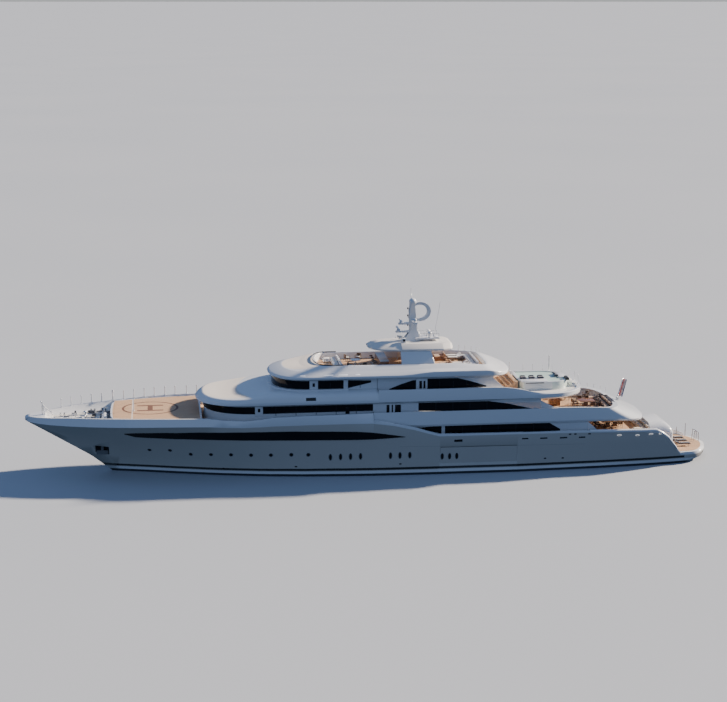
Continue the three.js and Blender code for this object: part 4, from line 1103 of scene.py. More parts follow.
def posts(bm, places, high, radius=0.035):
    for x, y, z in places:
        rod(bm, (x, y, z), (x, y, z + high), radius, radius * 0.8)
        rod(bm, (x, y, z), (x, y, z + 0.05), radius * 2)
        globe(bm, (x, y, z + high), radius * 1.5, rings=5)


def turned(bm, before, place, degrees=0.0):
    # moves what was just modelled round the origin to its place on the ship
    fresh = [vert for vert in bm.verts if vert not in before]
    bmesh.ops.rotate(bm, verts=fresh, cent=(0, 0, 0), matrix=Matrix.Rotation(math.radians(degrees), 3, "Z"))
    bmesh.ops.translate(bm, verts=fresh, vec=at(*place))


padding = {
    "voxel": 0.026, "pressure": 4, "frames": 20, "cap": 0.012, "thinCap": 0.005, "crown": 0.3, "pull": 0.05,
    "shrink": 0.97,
}


def padShape():
    # one unit cushion, crowned, with its sides drawn in between the corners
    bm = bmesh.new()
    bmesh.ops.create_cube(bm, size=2)
    bmesh.ops.subdivide_edges(bm, edges=bm.edges, cuts=5, use_grid_fill=True)
    for vert in bm.verts:
        u, v, w = vert.co
        full = (1 - abs(u) ** 4) * (1 - abs(v) ** 4)
        vert.co.x = u * (1 - padding["pull"] * (1 - v * v)) * (1 - 0.06 * abs(w) ** 3)
        vert.co.y = v * (1 - padding["pull"] * (1 - u * u)) * (1 - 0.06 * abs(w) ** 3)
        vert.co.z = w * (1 - padding["crown"] + padding["crown"] * full)
    mesh = bpy.data.meshes.new("pad_shape")
    bm.to_mesh(mesh)
    bm.free()
    return mesh


unitPad = padShape()


def pad(bm, centre, size, lean=0.0, place=(0, 0, 0), turn=0.0):
    # one cushion of a size at a centre; place and turn set that of the chair or lounger it lies on
    first = len(bm.verts)
    bm.from_mesh(unitPad)
    bm.verts.ensure_lookup_table()
    half = [side / 2 * shipScale * padding["shrink"] for side in size]
    stand = Matrix.Translation(at(*place)) @ Matrix.Rotation(math.radians(turn), 4, "Z")
    lie = Matrix.Translation(at(*centre)) @ Matrix.Rotation(math.radians(lean), 4, "Y")
    bmesh.ops.transform(bm, matrix=stand @ lie @ Matrix.Diagonal((*half, 1)), verts=bm.verts[first:])


def baked(obj):
    # the mesh as its modifiers leave it, with the modifiers taken off
    shape = bpy.data.meshes.new_from_object(obj.evaluated_get(bpy.context.evaluated_depsgraph_get()))
    obj.modifiers.clear()
    obj.data = shape


def swollen(obj, thin):
    if not thin:
        mesher = obj.modifiers.new("voxels", "REMESH")
        mesher.mode = "VOXEL"
        mesher.voxel_size = padding["voxel"]
        baked(obj)
    cap = padding["thinCap" if thin else "cap"]
    calm = [vert.co.copy() for vert in obj.data.vertices]
    cloth = obj.modifiers.new("cloth", "CLOTH")
    cloth.settings.use_pressure = True
    cloth.settings.uniform_pressure_force = padding["pressure"]
    cloth.settings.effector_weights.gravity = 0
    cloth.point_cache.frame_start = 1
    cloth.point_cache.frame_end = padding["frames"]
    for step in range(1, padding["frames"] + 1):
        bpy.context.scene.frame_set(step)
    baked(obj)
    for vert, start in zip(obj.data.vertices, calm):
        move = vert.co - start
        if move.length > cap:
            vert.co = start + move.normalized() * cap
    bpy.context.scene.frame_set(1)
    obj.data.shade_smooth()


def padded(name, bm, look, stands=(), thin=False):
    obj = settled(name, bm, look, stands=stands, sharp=80)
    swollen(obj, thin)
    smooth = obj.modifiers.new("smooth", "SUBSURF")
    smooth.levels = smooth.render_levels = 1
    return obj


# settees: a frame, seat cushions, back cushions and the two arms that come forward
settees = {
    "upper_deck_settee": {"x": -27.1, "half": 3.2, "floor": 5.9, "frame": "brown", "pads": "tan"},
    "main_deck_settee": {"x": -31.2, "half": 3.2, "floor": 3.4, "frame": "cream", "pads": "cloth"},
    "sun_deck_settee_fore": {"x": 3.6, "half": 2.8, "floor": 11.25, "frame": "white", "pads": "linen"},
    "sun_deck_settee_aft": {"x": -11.6, "half": 2.8, "floor": 11.25, "frame": "white", "pads": "linen"},
}
setteeShape = {"deep": 0.9, "arm": 0.9, "seatLow": 0.27, "seatHigh": 0.45, "wide": 1.0}


def makeSettee(node, spec):
    s = setteeShape
    x, half, floor = spec["x"], spec["half"], spec["floor"]
    frameMesh = bmesh.new()
    block(frameMesh, (x + 0.04, -half + 0.03, floor + 0.08), (x + s["deep"] - 0.04, half - 0.03, floor + 0.26), 0.03)
    block(frameMesh, (x + 0.01, -half + 0.01, floor + 0.1), (x + 0.1, half - 0.01, floor + 0.72), 0.035)
    for sign in (-1, 1):
        low, high = sorted((sign * (half - s["arm"] + 0.03), sign * (half - 0.03)))
        front = x + s["deep"] * 2
        block(frameMesh, (x + s["deep"] - 0.06, low, floor + 0.08), (front - 0.03, high, floor + 0.26), 0.03)
        for footX in (x + 0.15, front - 0.15):
            for footY in (low + 0.1, high - 0.1):
                rod(frameMesh, (footX, footY, floor + 0.01), (footX, footY, floor + 0.12), 0.035)
    for i in range(8):
        y = -half + 0.4 + i * (2 * half - 0.8) / 7
        rod(frameMesh, (x + 0.04, y, floor + 0.01), (x + 0.04, y, floor + 0.12), 0.03)
    settled(f"{node}_frame", frameMesh, spec["frame"], stands=[node])
    seats, backs, piping = bmesh.new(), bmesh.new(), bmesh.new()
    count = round(2 * half / s["wide"])
    wide = 2 * half / count
    middle = (s["seatLow"] + s["seatHigh"]) / 2
    for i in range(count):
        y = -half + (i + 0.5) * wide
        seat = (x + 0.26 + (s["deep"] - 0.26) / 2, y, floor + middle)
        pad(seats, seat, (s["deep"] - 0.28, wide - 0.04, s["seatHigh"] - s["seatLow"]))
        pad(backs, (x + 0.18, y, floor + 0.6), (0.15, wide - 0.05, 0.34), 6)
        left, right, front = y - wide / 2 + 0.03, y + wide / 2 - 0.03, x + s["deep"] - 0.02
        for z in (s["seatLow"] + 0.03, s["seatHigh"] - 0.035):
            rod(piping, (front, left, floor + z), (front, right, floor + z), 0.012, sides=6)
    for sign in (-1, 1):
        y = sign * (half - s["arm"] / 2)
        size = s["deep"] - 0.06, s["arm"] - 0.08, s["seatHigh"] - s["seatLow"]
        pad(seats, (x + s["deep"] * 1.5, y, floor + middle), size)
    padded(f"{node}_seats", seats, spec["pads"], [node])
    padded(f"{node}_backs", backs, spec["pads"], [node])
    settled(f"{node}_piping", piping, spec["frame"])


for node, spec in settees.items():
    makeSettee(node, spec)
print("settees done")


# loose furniture that faces +X: parts as kind, both sides or one, two ends or corners, and sizes,
# then cushions as centre, size and lean
looseShapes = {
    "chair": {
        "parts": [
            (block, False, (-0.26, -0.27, 0.36), (0.28, 0.27, 0.44), 0.03),
            (block, False, (-0.3, -0.27, 0.42), (-0.22, 0.27, 0.84), 0.03),
            (block, True, (-0.26, 0.24, 0.6), (0.24, 0.3, 0.65), 0.015),
            (rod, True, (-0.26, 0.27, 0), (-0.26, 0.27, 0.62), 0.022, 0.02, 6),
            (rod, True, (0.24, 0.27, 0), (0.24, 0.27, 0.62), 0.022, 0.02, 6),
        ],
        "pads": [((0.03, 0, 0.475), (0.46, 0.46, 0.08), 0)],
    },
    "lounger": {
        "parts": [
            (rod, True, (-0.95, 0.32, 0.28), (0.95, 0.32, 0.28), 0.03, 0.03, 6),
            (rod, True, (-0.7, 0.32, 0), (-0.7, 0.32, 0.28), 0.025, 0.025, 6),
            (rod, True, (0.7, 0.32, 0), (0.7, 0.32, 0.28), 0.025, 0.025, 6),
            (rod, True, (-0.28, 0.26, 0.3), (-0.86, 0.26, 0.54), 0.022, 0.022, 6),
            (rod, True, (-0.7, 0.3, 0.29), (-0.8, 0.26, 0.51), 0.016, 0.016, 6),
            (rod, False, (-0.86, -0.26, 0.54), (-0.86, 0.26, 0.54), 0.022, 0.022, 6),
            *((block, False, (0.14 * i - 0.25, -0.32, 0.28), (0.14 * i - 0.15, 0.32, 0.31), 0.008) for i in range(9)),
        ],
        "pads": [((0.33, 0, 0.365), (1.2, 0.6, 0.11), 0), ((-0.56, 0, 0.47), (0.62, 0.6, 0.1), 22)],
    },
}


def loose(kind, bm, pads, place, turn):
    before = set(bm.verts)
    fitted({kind: bm}, [(kind, *part) for part in looseShapes[kind]["parts"]])
    turned(bm, before, place, turn)
    for centre, size, lean in looseShapes[kind]["pads"]:
        pad(pads, centre, size, lean, place, turn)


tables = {
    "upper_deck_table": {"x": -24.6, "half": 0.9, "long": 1.8, "floor": 5.9, "chairs": 2, "pads": "tan"},
    "main_deck_table": {"x": -27.2, "half": 0.9, "long": 1.8, "floor": 3.4, "chairs": 2, "pads": "cloth"},
}


def makeTable(node, spec):
    bm = bmesh.new()
    x, half, long, floor = spec["x"], spec["half"], spec["long"] / 2, spec["floor"]
    block(bm, (x - long, -half, floor + 0.665), (x + long, half, floor + 0.718), 0.024)
    block(bm, (x - long + 0.12, -half + 0.12, floor + 0.63), (x + long - 0.12, half - 0.12, floor + 0.67), 0.01)
    block(bm, (x - 0.09, -0.29, floor + 0.02), (x + 0.09, 0.29, floor + 0.64), 0.03)
    block(bm, (x - 0.35, -0.45, floor + 0.004), (x + 0.35, 0.45, floor + 0.05), 0.02)
    settled(f"{node}_wood", bm, "wood", stands=[node])
    chairs, pads = bmesh.new(), bmesh.new()
    for i in range(spec["chairs"]):
        shift = (i - (spec["chairs"] - 1) / 2) * 0.85
        loose("chair", chairs, pads, (x + shift, half + 0.42, floor + 0.01), -90)
        loose("chair", chairs, pads, (x + shift, -half - 0.42, floor + 0.01), 90)
        loose("chair", chairs, pads, (x + long + 0.4, shift, floor + 0.01), 180)
        loose("chair", chairs, pads, (x - long - 0.4, shift, floor + 0.01), 0)
    settled(f"{node}_chairs", chairs, "brown")
    padded(f"{node}_chair_pads", pads, spec["pads"], thin=True)


for node, spec in tables.items():
    makeTable(node, spec)


# bow: mooring deck, round deck and the posts of the starboard rail
foredeck = {
    "floor": 5.94,
    "railPosts": [
        (34.66, -2.66, 6.70), (33.58, -3.14, 6.78), (32.48, -3.57, 6.82), (31.36, -3.99, 6.86), (30.24, -4.32, 6.89),
        (27.78, -5.04, 6.96), (26.62, -5.35, 6.99), (25.46, -5.64, 7.03), (24.32, -5.87, 7.05), (23.12, -6.08, 7.07),
        (21.96, -6.28, 7.08), (20.66, -6.37, 7.08), (19.50, -6.44, 7.08),
    ],
    "postHigh": 0.92,
    "gatePost": (29.02, -4.67, 6.92),
    "gateHigh": 1.05,
    "brace": [((36.7, 0, 8.0), (36.3, 0, 6.6)), ((36.5, 0, 7.6), (35.45, 0, 6.5))],  # crossed struts at the jackstaff
    "bollards": [(34.5, 1.35), (31.2, 2.9), (30.0, 3.3)],
    "hatches": [(34.0, -0.5, 0.8, 0.7), (33.2, -2.1, 0.7, 0.6), (30.5, -2.6, 0.8, 0.9), (33.4, 1.6, 0.6, 0.6)],
    "link": 0.16,
    "rim": 0.2,  # plain edge round the round deck's teak
    "raft": {"x": 29.8, "right": 0.5, "left": 1.7, "z": 6.42, "thick": 0.3, "straps": (0.7, 1.5)},
    "gear": [  # mesh, kind, both sides or one, two ends or corners, and sizes
        ("steel", rod, True, (33.6, 0.9, 5.94), (33.6, 0.9, 6.24), 0.12, 0.09, 12),
        ("dark", rod, True, (31.3, 1.0, 6.14), (30.8, 1.0, 6.14), 0.2, 0.16, 16),
        ("steel", rod, True, (32.0, 1.0, 6.5), (32.0, 1.0, 6.58), 0.2, 0.14, 16),
        ("steel", rod, True, (35.35, 0.75, 5.94), (35.35, 0.75, 6.08), 0.2, 0.15, 14),
        ("dark", block, True, (31.0, 1.7, 5.94), (31.7, 2.3, 6.39), 0.05),
        ("steel", rod, False, (33.0, 0.1, 5.94), (33.0, 0.1, 6.74), 0.05, 0.05, 10),
        ("dark", block, False, (32.9, -0.05, 6.69), (33.1, 0.25, 6.89), 0.03),
        # a thin dark mat on the recess floor before the round deck: painted shade
        ("dark", block, False, (29.3, -3.4, 5.94), (30.35, 2.6, 5.98), 0.01),
    ],
}


def chain(bm, start, end, link):
    run = Vector(end) - Vector(start)
    ahead = run.normalized()
    for i in range(int(run.length / link)):
        middle = Vector(start) + ahead * link * (i + 0.5)
        side = Vector((0, 0, 1)) if i % 2 else Vector((0, 1, 0))
        for sign in (-1, 1):
            shift = side * 0.035 * sign
            low, high = middle - ahead * link * 0.62 + shift, middle + ahead * link * 0.62 + shift
            rod(bm, low, high, 0.017, sides=5)
        for share in (-0.62, 0.62):
            spot = middle + ahead * link * share
            rod(bm, spot - side * 0.045, spot + side * 0.045, 0.017, sides=5)


def makeForedeck():
    f = foredeck
    floor = f["floor"]
    white, steel, dark = bmesh.new(), bmesh.new(), bmesh.new()
    posts(white, f["railPosts"], f["postHigh"], 0.055)
    for top, foot in f["brace"]:
        rod(white, top, foot, 0.05, 0.07)
        globe(white, top, 0.07, rings=6)
    x, y, z = f["gatePost"]
    posts(white, [(x, y, z)], f["gateHigh"], 0.07)
    rod(white, (x - 0.02, y, z + 0.95), (x - 0.02, y, z + 1.2), 0.13, 0.1, 12)
    posts(white, [(26.6, 1.0, 6.9)], 1.3, 0.05)
    for x, y in f["bollards"]:
        for sign in (-1, 1):
            block(steel, (x - 0.35, sign * y - 0.14, floor), (x + 0.35, sign * y + 0.14, floor + 0.06), 0.02)
            for shift in (-0.2, 0.2):
                rod(steel, (x + shift, sign * y, floor), (x + shift, sign * y, floor + 0.4), 0.085, 0.1, 14)
                rod(steel, (x + shift, sign * y, floor + 0.4), (x + shift, sign * y, floor + 0.44), 0.125, sides=14)
    for x, y, long, wide in f["hatches"]:
        block(white, (x - long / 2, y - wide / 2, floor), (x + long / 2, y + wide / 2, floor + 0.16), 0.03)
        low, high = (x - long / 2 + 0.08, y - wide / 2 + 0.08), (x + long / 2 - 0.08, y + wide / 2 - 0.08)
        block(dark, (*low, floor + 0.1), (*high, floor + 0.19), 0.02)
    for sign in (-1, 1):
        chain(steel, (32.35, sign * 1.0, floor + 0.22), (35.3, sign * 0.75, floor + 0.1), f["link"])
    fitted({"steel": steel, "dark": dark}, f["gear"])
    settled("bow_posts_and_hatches", white, "white")
    settled("mooring_gear", steel, "steel")
    settled("mooring_machinery_and_shade_mat", dark, "machinery")
    raft, r = bmesh.new(), f["raft"]
    x, z, thick, middle = r["x"], r["z"], r["thick"], (r["left"] + r["right"]) / 2
    rod(raft, (x, r["right"], z), (x, r["left"], z), thick, sides=24)
    for y in (r["right"], r["left"]):
        globe(raft, (x, y, z), thick, rings=12)
    rod(raft, (x, middle - 0.04, z), (x, middle + 0.04, z), thick + 0.015, sides=24)
    for y in r["straps"]:
        block(raft, (x - thick, y - 0.05, floor), (x + thick, y + 0.05, z - 0.17), 0.02, 1)
        rod(raft, (x, y - 0.03, z), (x, y + 0.03, z), thick + 0.01, sides=24, look=1)
    settled("raft_canister", raft, "white", extra=["steel"])


def makeRoundDeck():
    bm = nodeMesh("round_deck")
    top = [face for face in bm.faces if face.normal.z > 0.9]
    rim = foredeck["rim"] * shipScale
    bmesh.ops.inset_region(bm, faces=top, thickness=rim, use_even_offset=True, use_boundary=True)
    for face in top:
        face.material_index = 1
    settled("round_deck_skin", bm, "white", stands=["round_deck"], extra=["landing"])


makeForedeck()
makeRoundDeck()
for side in ("port", "starboard"):
    smoothCopy(f"windlass_{side}", "steel", 30, soften=0.006)
smoothCopy("jackstaff", "steel", 50)
print("bow done")


# ledge under the wheelhouse windows with a black strip under it as its painted shade, side vent, glowing dashes on the
# sun deck's side as painted highlights, and the screen of the sun deck
trim = {
    "ledge": {"fore": 11.7, "aft": 3.2, "half": 5.12, "nose": 4.4, "low": 9.47, "rise": 0.22},
    "vent": (7.42, 8.86, 1.08, 0.34),
    # x and width of the dashes along the sun deck's side, which glow in the glint finish: painted highlights
    "lights": [(8.23, 0.6), (5.43, 1.05), (3.84, 1.05), (2.23, 0.5)],
    "screen": {"fore": 6.75, "aft": 5.3, "half": 3.85, "nose": 1.8, "low": 12.02, "rise": 0.12},
}


def openLine(spec, low):
    # the outline from one aft end round the nose to the other, without its aft side
    half = [point for point in outline(spec) if point[1] > 0 or point[0] == spec["fore"]]
    return [(x, -y, low) for x, y in half[:0:-1]] + [(x, y, low) for x, y in half]


def makeTrim():
    ledge, screen, ventsAndGlints = trim["ledge"], trim["screen"], bmesh.new()
    bm = bmesh.new()
    ribbon(bm, openLine(ledge, ledge["low"]), ledge["rise"], 0.42)
    settled("wheelhouse_ledge", bm, "white")
    # a black strip just under the ledge: painted shade beneath its lip
    bm = bmesh.new()
    ribbon(bm, openLine({**ledge, "fore": 11.6, "half": 5.05}, ledge["low"] - 0.12), 0.14, 0.2)
    settled("wheelhouse_ledge_shade_strip", bm, "black")
    bm = bmesh.new()
    ribbon(bm, openLine(screen, screen["low"]), screen["rise"], 0.03)
    settled("sun_deck_screen", bm, "glass")
    x, z, wide, high = trim["vent"]
    place, normal = landed(x, z, 6.1, roofTree)
    disc(ventsAndGlints, place, normal, wide + 0.05, high + 0.05, 0.02, 2, sides=4)
    disc(ventsAndGlints, place, normal, wide, high, 0.03, sides=4)
    for x, wide in trim["lights"]:
        place, normal = landed(x, 11.3, 5.3, sunDeckTree)
        disc(ventsAndGlints, place, normal, wide, 0.09, 0.02, 1, sides=4)
    bothSides(ventsAndGlints)
    settled("side_vents_and_glints", ventsAndGlints, "black", extra=["lamp", "steel"])


makeTrim()


# sun deck furniture between the nose and the aft end
sunGear = {
    "floor": 11.26,
    "chairs": [(2.6, -2.3, 200), (2.7, 2.2, 160), (1.3, -2.6, 60), (1.3, 2.6, -60)],  # x, y and the way it turns
    "stools": {"x": -0.1, "first": -1.9, "apart": 0.95, "count": 5, "high": 0.62},
    "props": (-3.2, 2.5, 13.28),  # thin columns under the hardtop: x, y on both sides, and their tops
    "beds": {"x": -9.7, "ys": (-2.7, -1.6, 1.6, 2.7)},
    "couch": {"fore": -7.2, "aft": -8.6, "middle": 2.3, "half": 0.8, "high": 0.3},
    "posts": [
        (-8.9, -3.93), (-9.7, -3.93), (-10.5, -3.93), (-11.2, -3.9), (-11.9, -3.75), (-12.4, -3.2), (-12.6, -2.4),
    ],
}


def makeSunDeckGear():
    g = sunGear
    floor = g["floor"]
    bm = bmesh.new()
    block(bm, (-1.58, -2.38, floor), (-0.62, 2.38, 12.1), 0.05)
    for i in range(7):
        y = -2.1 + i * 0.7
        block(bm, (-1.6, y - 0.3, floor + 0.1), (-0.6, y + 0.3, 12.0), 0.02)
    block(bm, (-1.6, -2.4, 12.1), (-0.6, 2.4, 12.2), 0.02, 1)
    settled("sun_deck_bar_counter", bm, "wood", stands=["sun_deck_bar"], extra=["white"])
    stools, furniture, pads = bmesh.new(), bmesh.new(), bmesh.new()
    row = g["stools"]
    x, high = row["x"], row["high"]
    for i in range(row["count"]):
        y = row["first"] + i * row["apart"]
        rod(stools, (x, y, floor), (x, y, floor + high), 0.03, look=1)
        rod(stools, (x, y, floor), (x, y, floor + 0.03), 0.2, sides=14, look=1)
        rod(stools, (x, y, floor + high), (x, y, floor + high + 0.1), 0.19, 0.17, 14)
    settled("bar_stools", stools, "brown", extra=["steel"])
    for x, y, turn in g["chairs"]:
        loose("chair", furniture, pads, (x, y, floor), turn)
    padded("sun_deck_chair_pads", pads, "linen", thin=True)
    rod(furniture, (1.9, 0, floor), (1.9, 0, floor + 0.6), 0.06, look=1)
    rod(furniture, (1.9, 0, floor + 0.6), (1.9, 0, floor + 0.66), 0.55, sides=28, look=1)
    x, half, top = g["props"]
    for y in (half, -half):
        rod(furniture, (x, y, floor), (x, y, top), 0.07, look=1)
    block(furniture, (-6.6, -1.5, floor), (-4.2, 1.5, floor + 0.9), 0.05, 2)
    block(furniture, (-6.65, -1.55, floor + 0.9), (-4.15, 1.55, floor + 0.97), 0.02, 1)
    couch = g["couch"]
    for sign in (-1, 1):
        right, left = (sign * couch["middle"] + half for half in (-couch["half"], couch["half"]))
        block(furniture, (couch["aft"], right, floor), (couch["fore"], left, floor + couch["high"]), 0.04, 2)
    settled("sun_deck_furniture", furniture, "brown", extra=["white", "wood"])
    couches, beds, pads = bmesh.new(), bmesh.new(), bmesh.new()
    middle = (couch["fore"] + couch["aft"]) / 2
    for sign in (-1, 1):
        for shift in (-0.4, 0.4):
            y = sign * couch["middle"] + shift
            pad(couches, (middle, y, floor + couch["high"] + 0.08), (1.3, 0.76, 0.2))
            pad(couches, (couch["aft"] + 0.1, y, floor + couch["high"] * 2), (0.18, 0.74, 0.36), 8)
    padded("sun_deck_couch_pads", couches, "tan")
    for y in g["beds"]["ys"]:
        loose("lounger", beds, pads, (g["beds"]["x"], y, floor), 0)
    settled("sun_deck_loungers", beds, "brown")
    padded("sun_deck_lounger_pads", pads, "linen", thin=True)
    rails = bmesh.new()
    posts(rails, [(x, y, along(sunDeck["coaming"], x) - 0.03) for x, y in g["posts"]], 0.6, 0.03)
    settled("sun_deck_posts", rails, "white")


makeSunDeckGear()


# aft end of the bridge deck: pool, steps up to it and the starboard rail
pool = {
    "plan": {"fore": -16.3, "aft": -22.2, "half": 3.1, "nose": 0.5, "tail": 2.4},
    "top": 9.5,
    "floor": 8.601,
    "rim": 0.32,
    "water": 9.4,
    "pads": [(-16.95, 1.3), (-17.95, 1.3), (-18.95, 1.3)],
    "posts": [
        (-16.8, -5.66), (-18.4, -5.66), (-19.5, -5.5), (-20.6, -5.1), (-21.6, -4.45), (-22.5, -3.55), (-23.1, -2.4),
        (-23.4, -0.9), (-23.4, 0.9),
    ],
    "pole": (-21.18, -4.3),
    "aftPads": {"base": (-22.95, -22.4), "half": 1.9, "low": 8.605, "high": 8.85},
    "benches": [  # two corners and rounding, with heights from the top of the tub
        (-19.5, 0.75, -0.12, -16.5, 2.85, 0.05, 0.03), (-22.0, -1.9, -0.12, -21.2, 0.9, 0.06, 0.03),
    ],
    # dark strips: the first, just under the tub's top on its port face, is painted shadow under the rim; the second is
    # a dark block at the tub's aft end
    "darkStrips": [(-19.0, 3.08, -0.16, -16.9, 3.13, -0.07, 0.01), (-22.05, 1.0, -0.05, -21.7, 2.3, 0.22, 0.03)],
    "steps": {"count": 4, "fore": -14.5, "run": 0.42, "low": 8.61, "rise": 0.2, "right": -3.4, "left": 2.2},
}


def makePool():
    p = pool
    plan = p["plan"]

    def inner(by):
        return {**shifted(plan, by, by), "fore": plan["fore"] - by}

    bm = bmesh.new()
    loft(bm, [ring(plan, p["floor"]), ring(plan, p["top"])])
    for face in bm.faces:
        face.material_index = 1
    top = max(bm.faces, key=lambda face: face.calc_center_median().z)
    rim = bmesh.ops.inset_region(bm, faces=[top], thickness=p["rim"] * shipScale, use_even_offset=True)["faces"]
    for face in rim:
        face.material_index = 0
    sunk = bmesh.ops.extrude_face_region(bm, geom=[top])["geom"]
    bmesh.ops.translate(bm, verts=vertsOf(sunk), vec=at(0, 0, p["water"] - 0.25 - p["top"]))
    if top.is_valid:
        bmesh.ops.delete(bm, geom=[top], context="FACES_ONLY")
    outward(bm)
    corners = [edge for edge in bm.edges if edge.calc_face_angle(0) > 1]
    high = p["top"] * shipScale - 1e-5
    rounded(bm, [edge for edge in corners if all(vert.co.z > high for vert in edge.verts)], 0.04, 3)
    settled("spa_pool_basin", bm, "white", stands=["spa_pool"], extra=["tile"])
    bm = bmesh.new()
    loft(bm, [ring(inner(p["rim"] - 0.02), p["water"] - 0.1), ring(inner(p["rim"] - 0.02), p["water"])])
    settled("spa_pool_water", bm, "water")
    for rows, name, look in (("benches", "pool_side_bench", "white"), ("darkStrips", "pool_dark_strips", "black")):
        bm = bmesh.new()
        for x0, y0, low, x1, y1, high, soft in p[rows]:
            block(bm, (x0, y0, p["top"] + low), (x1, y1, p["top"] + high), soft)
        settled(name, bm, look)
    aft = p["aftPads"]
    bm = bmesh.new()
    block(bm, (aft["base"][0], -aft["half"], aft["low"]), (aft["base"][1], aft["half"], aft["high"]), 0.04)
    settled("pool_aft_bench", bm, "white")
    pads = bmesh.new()
    for i in range(4):
        y = (i - 1.5) * aft["half"] / 2
        pad(pads, (sum(aft["base"]) / 2, y, aft["high"] + 0.1), (0.52, 0.9, 0.2))
    padded("pool_aft_pads", pads, "linen")
    pads = bmesh.new()
    for x, y in p["pads"]:
        pad(pads, (x, y, p["top"] + 0.14), (0.84, 0.6, 0.2))
        pad(pads, (x, y - 0.3, p["top"] + 0.24), (0.7, 0.2, 0.26))
    pad(pads, (-21.05, -0.5, p["top"] + 0.12), (0.42, 1.9, 0.2))
    padded("pool_side_pads", pads, "navy")
    steps, s = bmesh.new(), p["steps"]
    for i in range(s["count"]):
        fore = s["fore"] - s["run"] * i
        top = s["low"] + s["rise"] * (i + 1)
        block(steps, (fore - s["run"] - 0.01, s["right"], s["low"]), (fore, s["left"], top), 0.015)
    settled("pool_steps", steps, "teak")
    rails = bmesh.new()
    posts(rails, [(x, y, along(bridgeDeck["rim"], x) - 0.02) for x, y in p["posts"]], 0.95, 0.035)
    x, y = p["pole"]
    rod(rails, (x, y, 8.72), (x, y, 10.9), 0.11, 0.08, 12)
    globe(rails, (x, y, 10.9), 0.1)
    settled("bridge_deck_posts", rails, "white")


makePool()


# aft ends of the upper and main decks
aftDecks = {
    "floor": 5.92,
    "chairs": [  # x, y and the way it turns
        (-25.5, -3.9, 30), (-26.6, -2.5, 0), (-25.6, 3.7, -40), (-23.2, -3.3, 150), (-23.3, 3.2, 200),
    ],
    "loungers": [(-22.3, -3.9), (-22.3, 3.9)],
    "posts": [(-24.3, -5.62), (-25.2, -5.45), (-26.0, -5.25), (-26.7, -4.85), (-27.3, -4.2), (-27.7, -3.3)],
    "wing": [(-23.5, 5.41), (-23.5, 3.6), (-25.5, 3.6)],  # three-cornered plate beside the house's end, as x and z
    "gear": [  # mesh, kind, both sides or one, two corners and rounding
        ("cabinet", block, False, (-21.7, -1.1, 5.905), (-20.4, -0.4, 6.95), 0.03),
        ("cabinet", block, False, (-21.65, -0.42, 6.0), (-21.31, -0.38, 6.85), 0.008),
        ("cabinet", block, False, (-21.22, -0.42, 6.0), (-20.88, -0.38, 6.85), 0.008),
        ("cabinet", block, False, (-20.79, -0.42, 6.0), (-20.45, -0.38, 6.85), 0.008),
        ("cabinet", block, False, (-21.74, -1.14, 6.93), (-20.36, -0.36, 7.0), 0.02),
        ("benches", block, True, (-30.9, 4.35, 3.405), (-25.8, 5.1, 3.68), 0.04),
        ("benches", block, True, (-30.9, 5.02, 3.6), (-25.8, 5.16, 4.0), 0.04),
        ("sideboard", block, False, (-23.6, -1.6, 3.405), (-22.9, 1.6, 4.35), 0.04),
        ("sideboard", block, False, (-23.64, -1.64, 4.33), (-22.86, 1.64, 4.4), 0.02),
    ],
}


def makeAftDecks():
    meshes = {name: bmesh.new() for name in ("cabinet", "benches", "sideboard")}
    fitted(meshes, aftDecks["gear"])
    settled("upper_deck_cabinet", meshes["cabinet"], "wood")
    brown, white, pads = bmesh.new(), bmesh.new(), bmesh.new()
    for x, y, turn in aftDecks["chairs"]:
        loose("chair", brown, pads, (x, y, aftDecks["floor"]), turn)
    for x, y in aftDecks["loungers"]:
        loose("lounger", brown, pads, (x, y, aftDecks["floor"]), 180)
    settled("upper_deck_chairs", brown, "brown")
    padded("upper_deck_chair_pads", pads, "tan", thin=True)
    posts(white, [(x, y, along(upperDeck["rim"], x) - 0.03) for x, y in aftDecks["posts"]], 0.55, 0.03)
    settled("upper_deck_posts", white, "white")
    seats = bmesh.new()
    for sign in (-1, 1):
        for i in range(5):
            pad(seats, (i - 30.35, sign * 4.7, 3.77), (0.95, 0.68, 0.18))
    settled("main_deck_benches", meshes["benches"], "white")
    padded("main_deck_bench_pads", seats, "cloth")
    wings = bmesh.new()
    loft(wings, [[(x, y, z) for x, z in aftDecks["wing"]] for y in (5.28, 5.355)])
    bothSides(wings)
    settled("main_deck_side_wings", wings, "white")
    settled("main_deck_sideboard", meshes["sideboard"], "wood")


makeAftDecks()


# stern: teak panel on the platform, stairs on both sides and the gear that stands there
stern = {
    "margin": 0.4,
    "capFrom": -23.6,
    "capTo": -34.0,
    "capSteps": 40,
    "capSection": [  # outwards of the side and above its edge
        (0, -0.26), (0.12, -0.16), (0.13, -0.03), (0.03, 0.08), (-0.14, 0.11), (-0.43, 0.05), (-0.43, -0.06),
    ],
    "stair": {"top": (-31.4, 3.4), "foot": (-33.6, 1.3), "steps": 9, "inner": 3.46},
    "platform": 1.3,
    "posts": [(-37.3, -3.0, 1.5), (-34.9, -4.3, 0.9), (-35.7, -4.2, 0.9), (-36.5, -3.8, 0.9)],  # x, y and height
    "bollards": [(-34.3, 4.3), (-34.3, -4.3)],
    "handrails": [(-37.5, 1.3), (-37.55, 2.55), (-38.0, 2.35), (-38.02, 1.3)],  # bent over the edge, as x and z
    "coaming": [(-34.4, -4.5, 2.1), (-35.4, -4.32, 1.95), (-36.4, -4.05, 1.75), (-37.2, -3.35, 1.5)],
    "inside": [(-31.4, 5.34), (-32.2, 5.18), (-32.95, 4.96), (-33.6, 4.7)],
}


